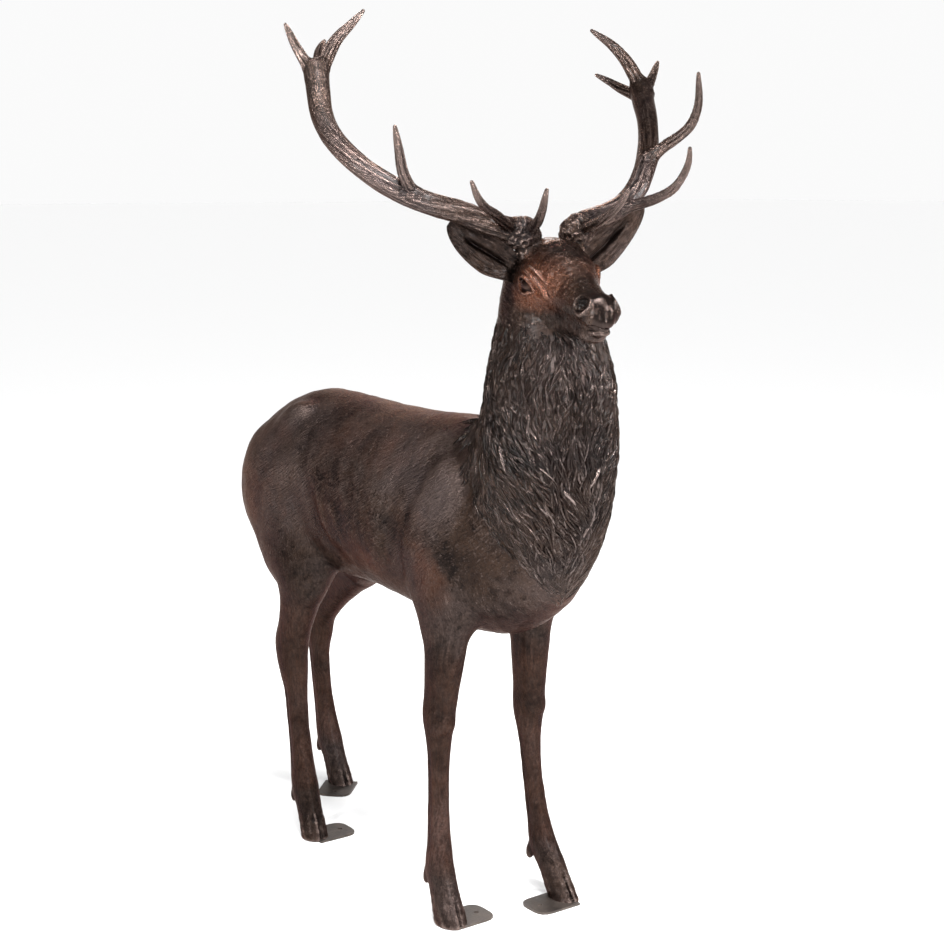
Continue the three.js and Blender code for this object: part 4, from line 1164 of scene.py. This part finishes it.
def maneFlow(points):
    # the way the hair lies: down the neck, forward on its sides and inwards on the chest, in waves
    x, y, z = points.T
    front = ease(150, 310, x)
    swing = 0.62 * noise(points, 120, 31) + 0.42 * noise(points, 52, 32)
    forward = 0.85 * ease(1430, 1220, z) * ease(40, 130, x) * (1 - front) - 0.10 * ease(90, 10, x)
    inward = -np.sign(y) * 0.60 * front * ease(0, 40, np.abs(y)) * ease(1400, 1250, z)
    return unit(np.stack([forward + swing, inward + 0.6 * swing * front, -np.ones(len(points))], 1))


# lower edge of the mane, from the shoulder (x) down to the chest (z)
footX, footZ = [60, 93, 140, 191, 225], [1120, 1080, 1000, 928, 882]


def aboveFoot(points):
    return points[:, 2] - (np.interp(points[:, 0], footX, footZ) + 22 * noise(points, 36, 34))


def lockSizes(layer, roots, rng):
    # locks are small at the throat and towards the lower edge, where the mane also lies flatter
    count = len(roots)
    above = aboveFoot(roots)
    grown = mix(0.25, 1, ease(1440, 1340, roots[:, 2])) * mix(0.45, 1, ease(-60, 110, above))
    low, high = layer["length"]
    length = mix(low * 0.6, mix(low, high, rng.uniform(0, 1, count)), grown)
    thin, thick = layer["width"]
    width = mix(thin * 0.75, mix(thin, thick, rng.uniform(0, 1, count) ** 1.3), grown)
    flat = mix(0.25, 1, ease(0, 150, above)) if layer["zone"] == "mane" else 1.0
    height = layer["height"] * mix(0.4, 1, grown) * flat * rng.uniform(0.6, 1.3, count)
    return length, width, height, layer["wave"] * rng.uniform(0.4, 1.4, count)


def maneZones(points):
    # the mane itself, and the fringe of small locks that fades out below it and behind it
    x, y, z = points.T
    backEdge = mix(60, -120, ease(1130, 1290, z)) + 18 * noise(points, 40, 33)
    hairline = 1446 + 16 * noise(points, 34, 35) - 0.10 * np.clip(x - 150, 0, 400)
    above = aboveFoot(points)
    fade = 46 + 60 * noise(points, 55, 38)
    return {
        "mane": (x > backEdge) & (above > 0) & (z < hairline) & ~underChin(points + [12, 0, 12]),
        "fringe": (x > backEdge - 40) & (above > -fade) & (above < 60) & (z < 1150) & (x > -40),
    }


maneRoots = np.concatenate([trunkPoints, headPoints[::4]])
zones = maneZones(maneRoots)
trianglesEach = lockSteps * (len(lockSpread) - 1) * 2
for layer in maneLayers:
    roots = spaced(maneRoots[zones[layer["zone"]]], layer["spacing"], layer["seed"])
    roots = trunkField.settle(roots)[:figure["mostTriangles"] // trianglesEach]
    print("locks in a layer of the mane", len(roots))
    layLocks(layer, trunkField, roots)


# tabs: the CAD plates with a duller cast surface
tabLook = {"dark": (0.055, 0.045, 0.040), "light": (0.105, 0.084, 0.072), "roughness": 0.50, "metallic": 0.7}


def tabBronze():
    make = Shader(bpy.data.materials.new("tab_bronze"))
    place = make.place()
    patch = make.noise(place, 22.0, 4.0, 0.6)
    fleck = make.noise(place, 160.0, 3.0, 0.6)
    return make.surface({
        "Base Color": make.blend(patch.between(0.3, 0.7), tabLook["dark"], tabLook["light"]),
        "Roughness": tabLook["roughness"] + (patch - 0.5) * 0.3 + (fleck - 0.5) * 0.2,
        "Metallic": tabLook["metallic"], "Normal": make.bump(fleck + patch, 0.35, 0.002)})


tabMetal = tabBronze()
for name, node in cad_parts.items():
    if name.startswith("fixing_tab"):
        node.data.materials.clear()
        node.data.materials.append(tabMetal)

# floor, light and the photograph's camera
studio = {
    "floor": 0.92,              # how white the floor is
    "reach": 150,               # half the floor's side, m
    "dim": 0.26,                # strength of the light from all round
    "wall": 0.96,               # and from the bright wall behind the stag
    "wallEdge": (0.80, 0.95),   # cosines of the angles over which it fades in
    "ceiling": 2.6,             # strength of the even light from above
    "ceilingAngle": 35,         # degrees, how soft its shadows are
}
# softboxes: where they hang, what they point at, side in m, watts
softboxes = {
    "key": ((3.4, 0.4, 3.6), (0.2, 0, 1.2), 0.5, 130),
    "front_left": ((2.0, -3.2, 2.5), (0.1, 0, 1.2), 0.45, 75),
    "front_right": ((4.2, -0.9, 2.0), (0.2, 0, 1.3), 0.45, 85),
    "right": ((2.6, 2.6, 2.6), (0.2, 0, 1.2), 0.5, 90),
    "left": ((0.2, -4.1, 3.0), (-0.1, 0, 1.0), 0.5, 90),
    "overhead": ((1.4, -1.0, 4.5), (0.1, 0, 1.2), 0.6, 110),
    "rim": ((-3.2, 2.4, 3.6), (0, 0, 1.2), 0.8, 45),
}
photo = {
    "lens": 64.83,              # mm, with a sensor 36 mm wide
    "sensor": 36,
    "heading": 54.2,            # degrees
    "pitch": 9.58,
    "aside": -0.085, "back": 3.90, "up": 1.74,      # from the middle between the fore hoofs, m
}
heading = math.radians(photo["heading"])
sight = (-math.sin(heading), math.cos(heading), 0.0)

floorMesh = bpy.data.meshes.new("floor")
reach = studio["reach"]
floorCorners = [(-reach, -reach, 0), (reach, -reach, 0), (reach, reach, 0), (-reach, reach, 0)]
floorMesh.from_pydata(floorCorners, [], [(0, 1, 2, 3)])
addThing("floor", floorMesh)
floorPaint = Shader(bpy.data.materials.new("floor_paint"))
floorMesh.materials.append(floorPaint.surface({"Base Color": (studio["floor"],) * 3, "Roughness": 0.9}))

# a dim studio with a bright wall behind the stag
world = Shader(bpy.data.worlds.new("studio"))
bpy.context.scene.world = world.owner
direction = world.node("ShaderNodeTexCoord", {}, {})
towards = world.node("ShaderNodeVectorMath", {"operation": "DOT_PRODUCT"}, {0: direction, 1: sight}, 1)
strength = world.node("ShaderNodeMapRange", {"interpolation_type": "SMOOTHSTEP"}, {
    "Value": towards, "From Min": studio["wallEdge"][0], "From Max": studio["wallEdge"][1],
    "To Min": studio["dim"], "To Max": studio["wall"]})
background = world.node("ShaderNodeBackground", {}, {"Color": (1.0, 1.0, 1.0), "Strength": strength})
world.node("ShaderNodeOutputWorld", {}, {"Surface": background})
bpy.context.scene.view_settings.view_transform = "Standard"


def addLight(name, kind, at, target, power):
    light = bpy.data.lights.new(name, kind)
    light.energy = power
    thing = addThing(name, light)
    thing.location = at
    thing.rotation_euler = (Vector(target) - Vector(at)).to_track_quat("-Z", "Y").to_euler()
    return light


for name, (at, target, size, power) in softboxes.items():
    softbox = addLight(name, "AREA", at, target, power)
    softbox.shape = "SQUARE"
    softbox.size = size
ceiling = addLight("ceiling", "SUN", (1.3, -0.5, 4.0), (0, 0, 0), studio["ceiling"])
ceiling.angle = math.radians(studio["ceilingAngle"])

camera = bpy.data.cameras.new("camera")
camera.sensor_width = photo["sensor"]
camera.lens = photo["lens"]
view = addThing("camera", camera)
bpy.context.scene.camera = view
across = (math.cos(heading), math.sin(heading))
view.location = (
    photo["aside"] * across[0] + photo["back"] * across[1] + poseShift[0],
    photo["aside"] * across[1] - photo["back"] * across[0] + poseShift[1],
    photo["up"])
view.rotation_euler = (math.pi / 2 - math.radians(photo["pitch"]), 0, heading)
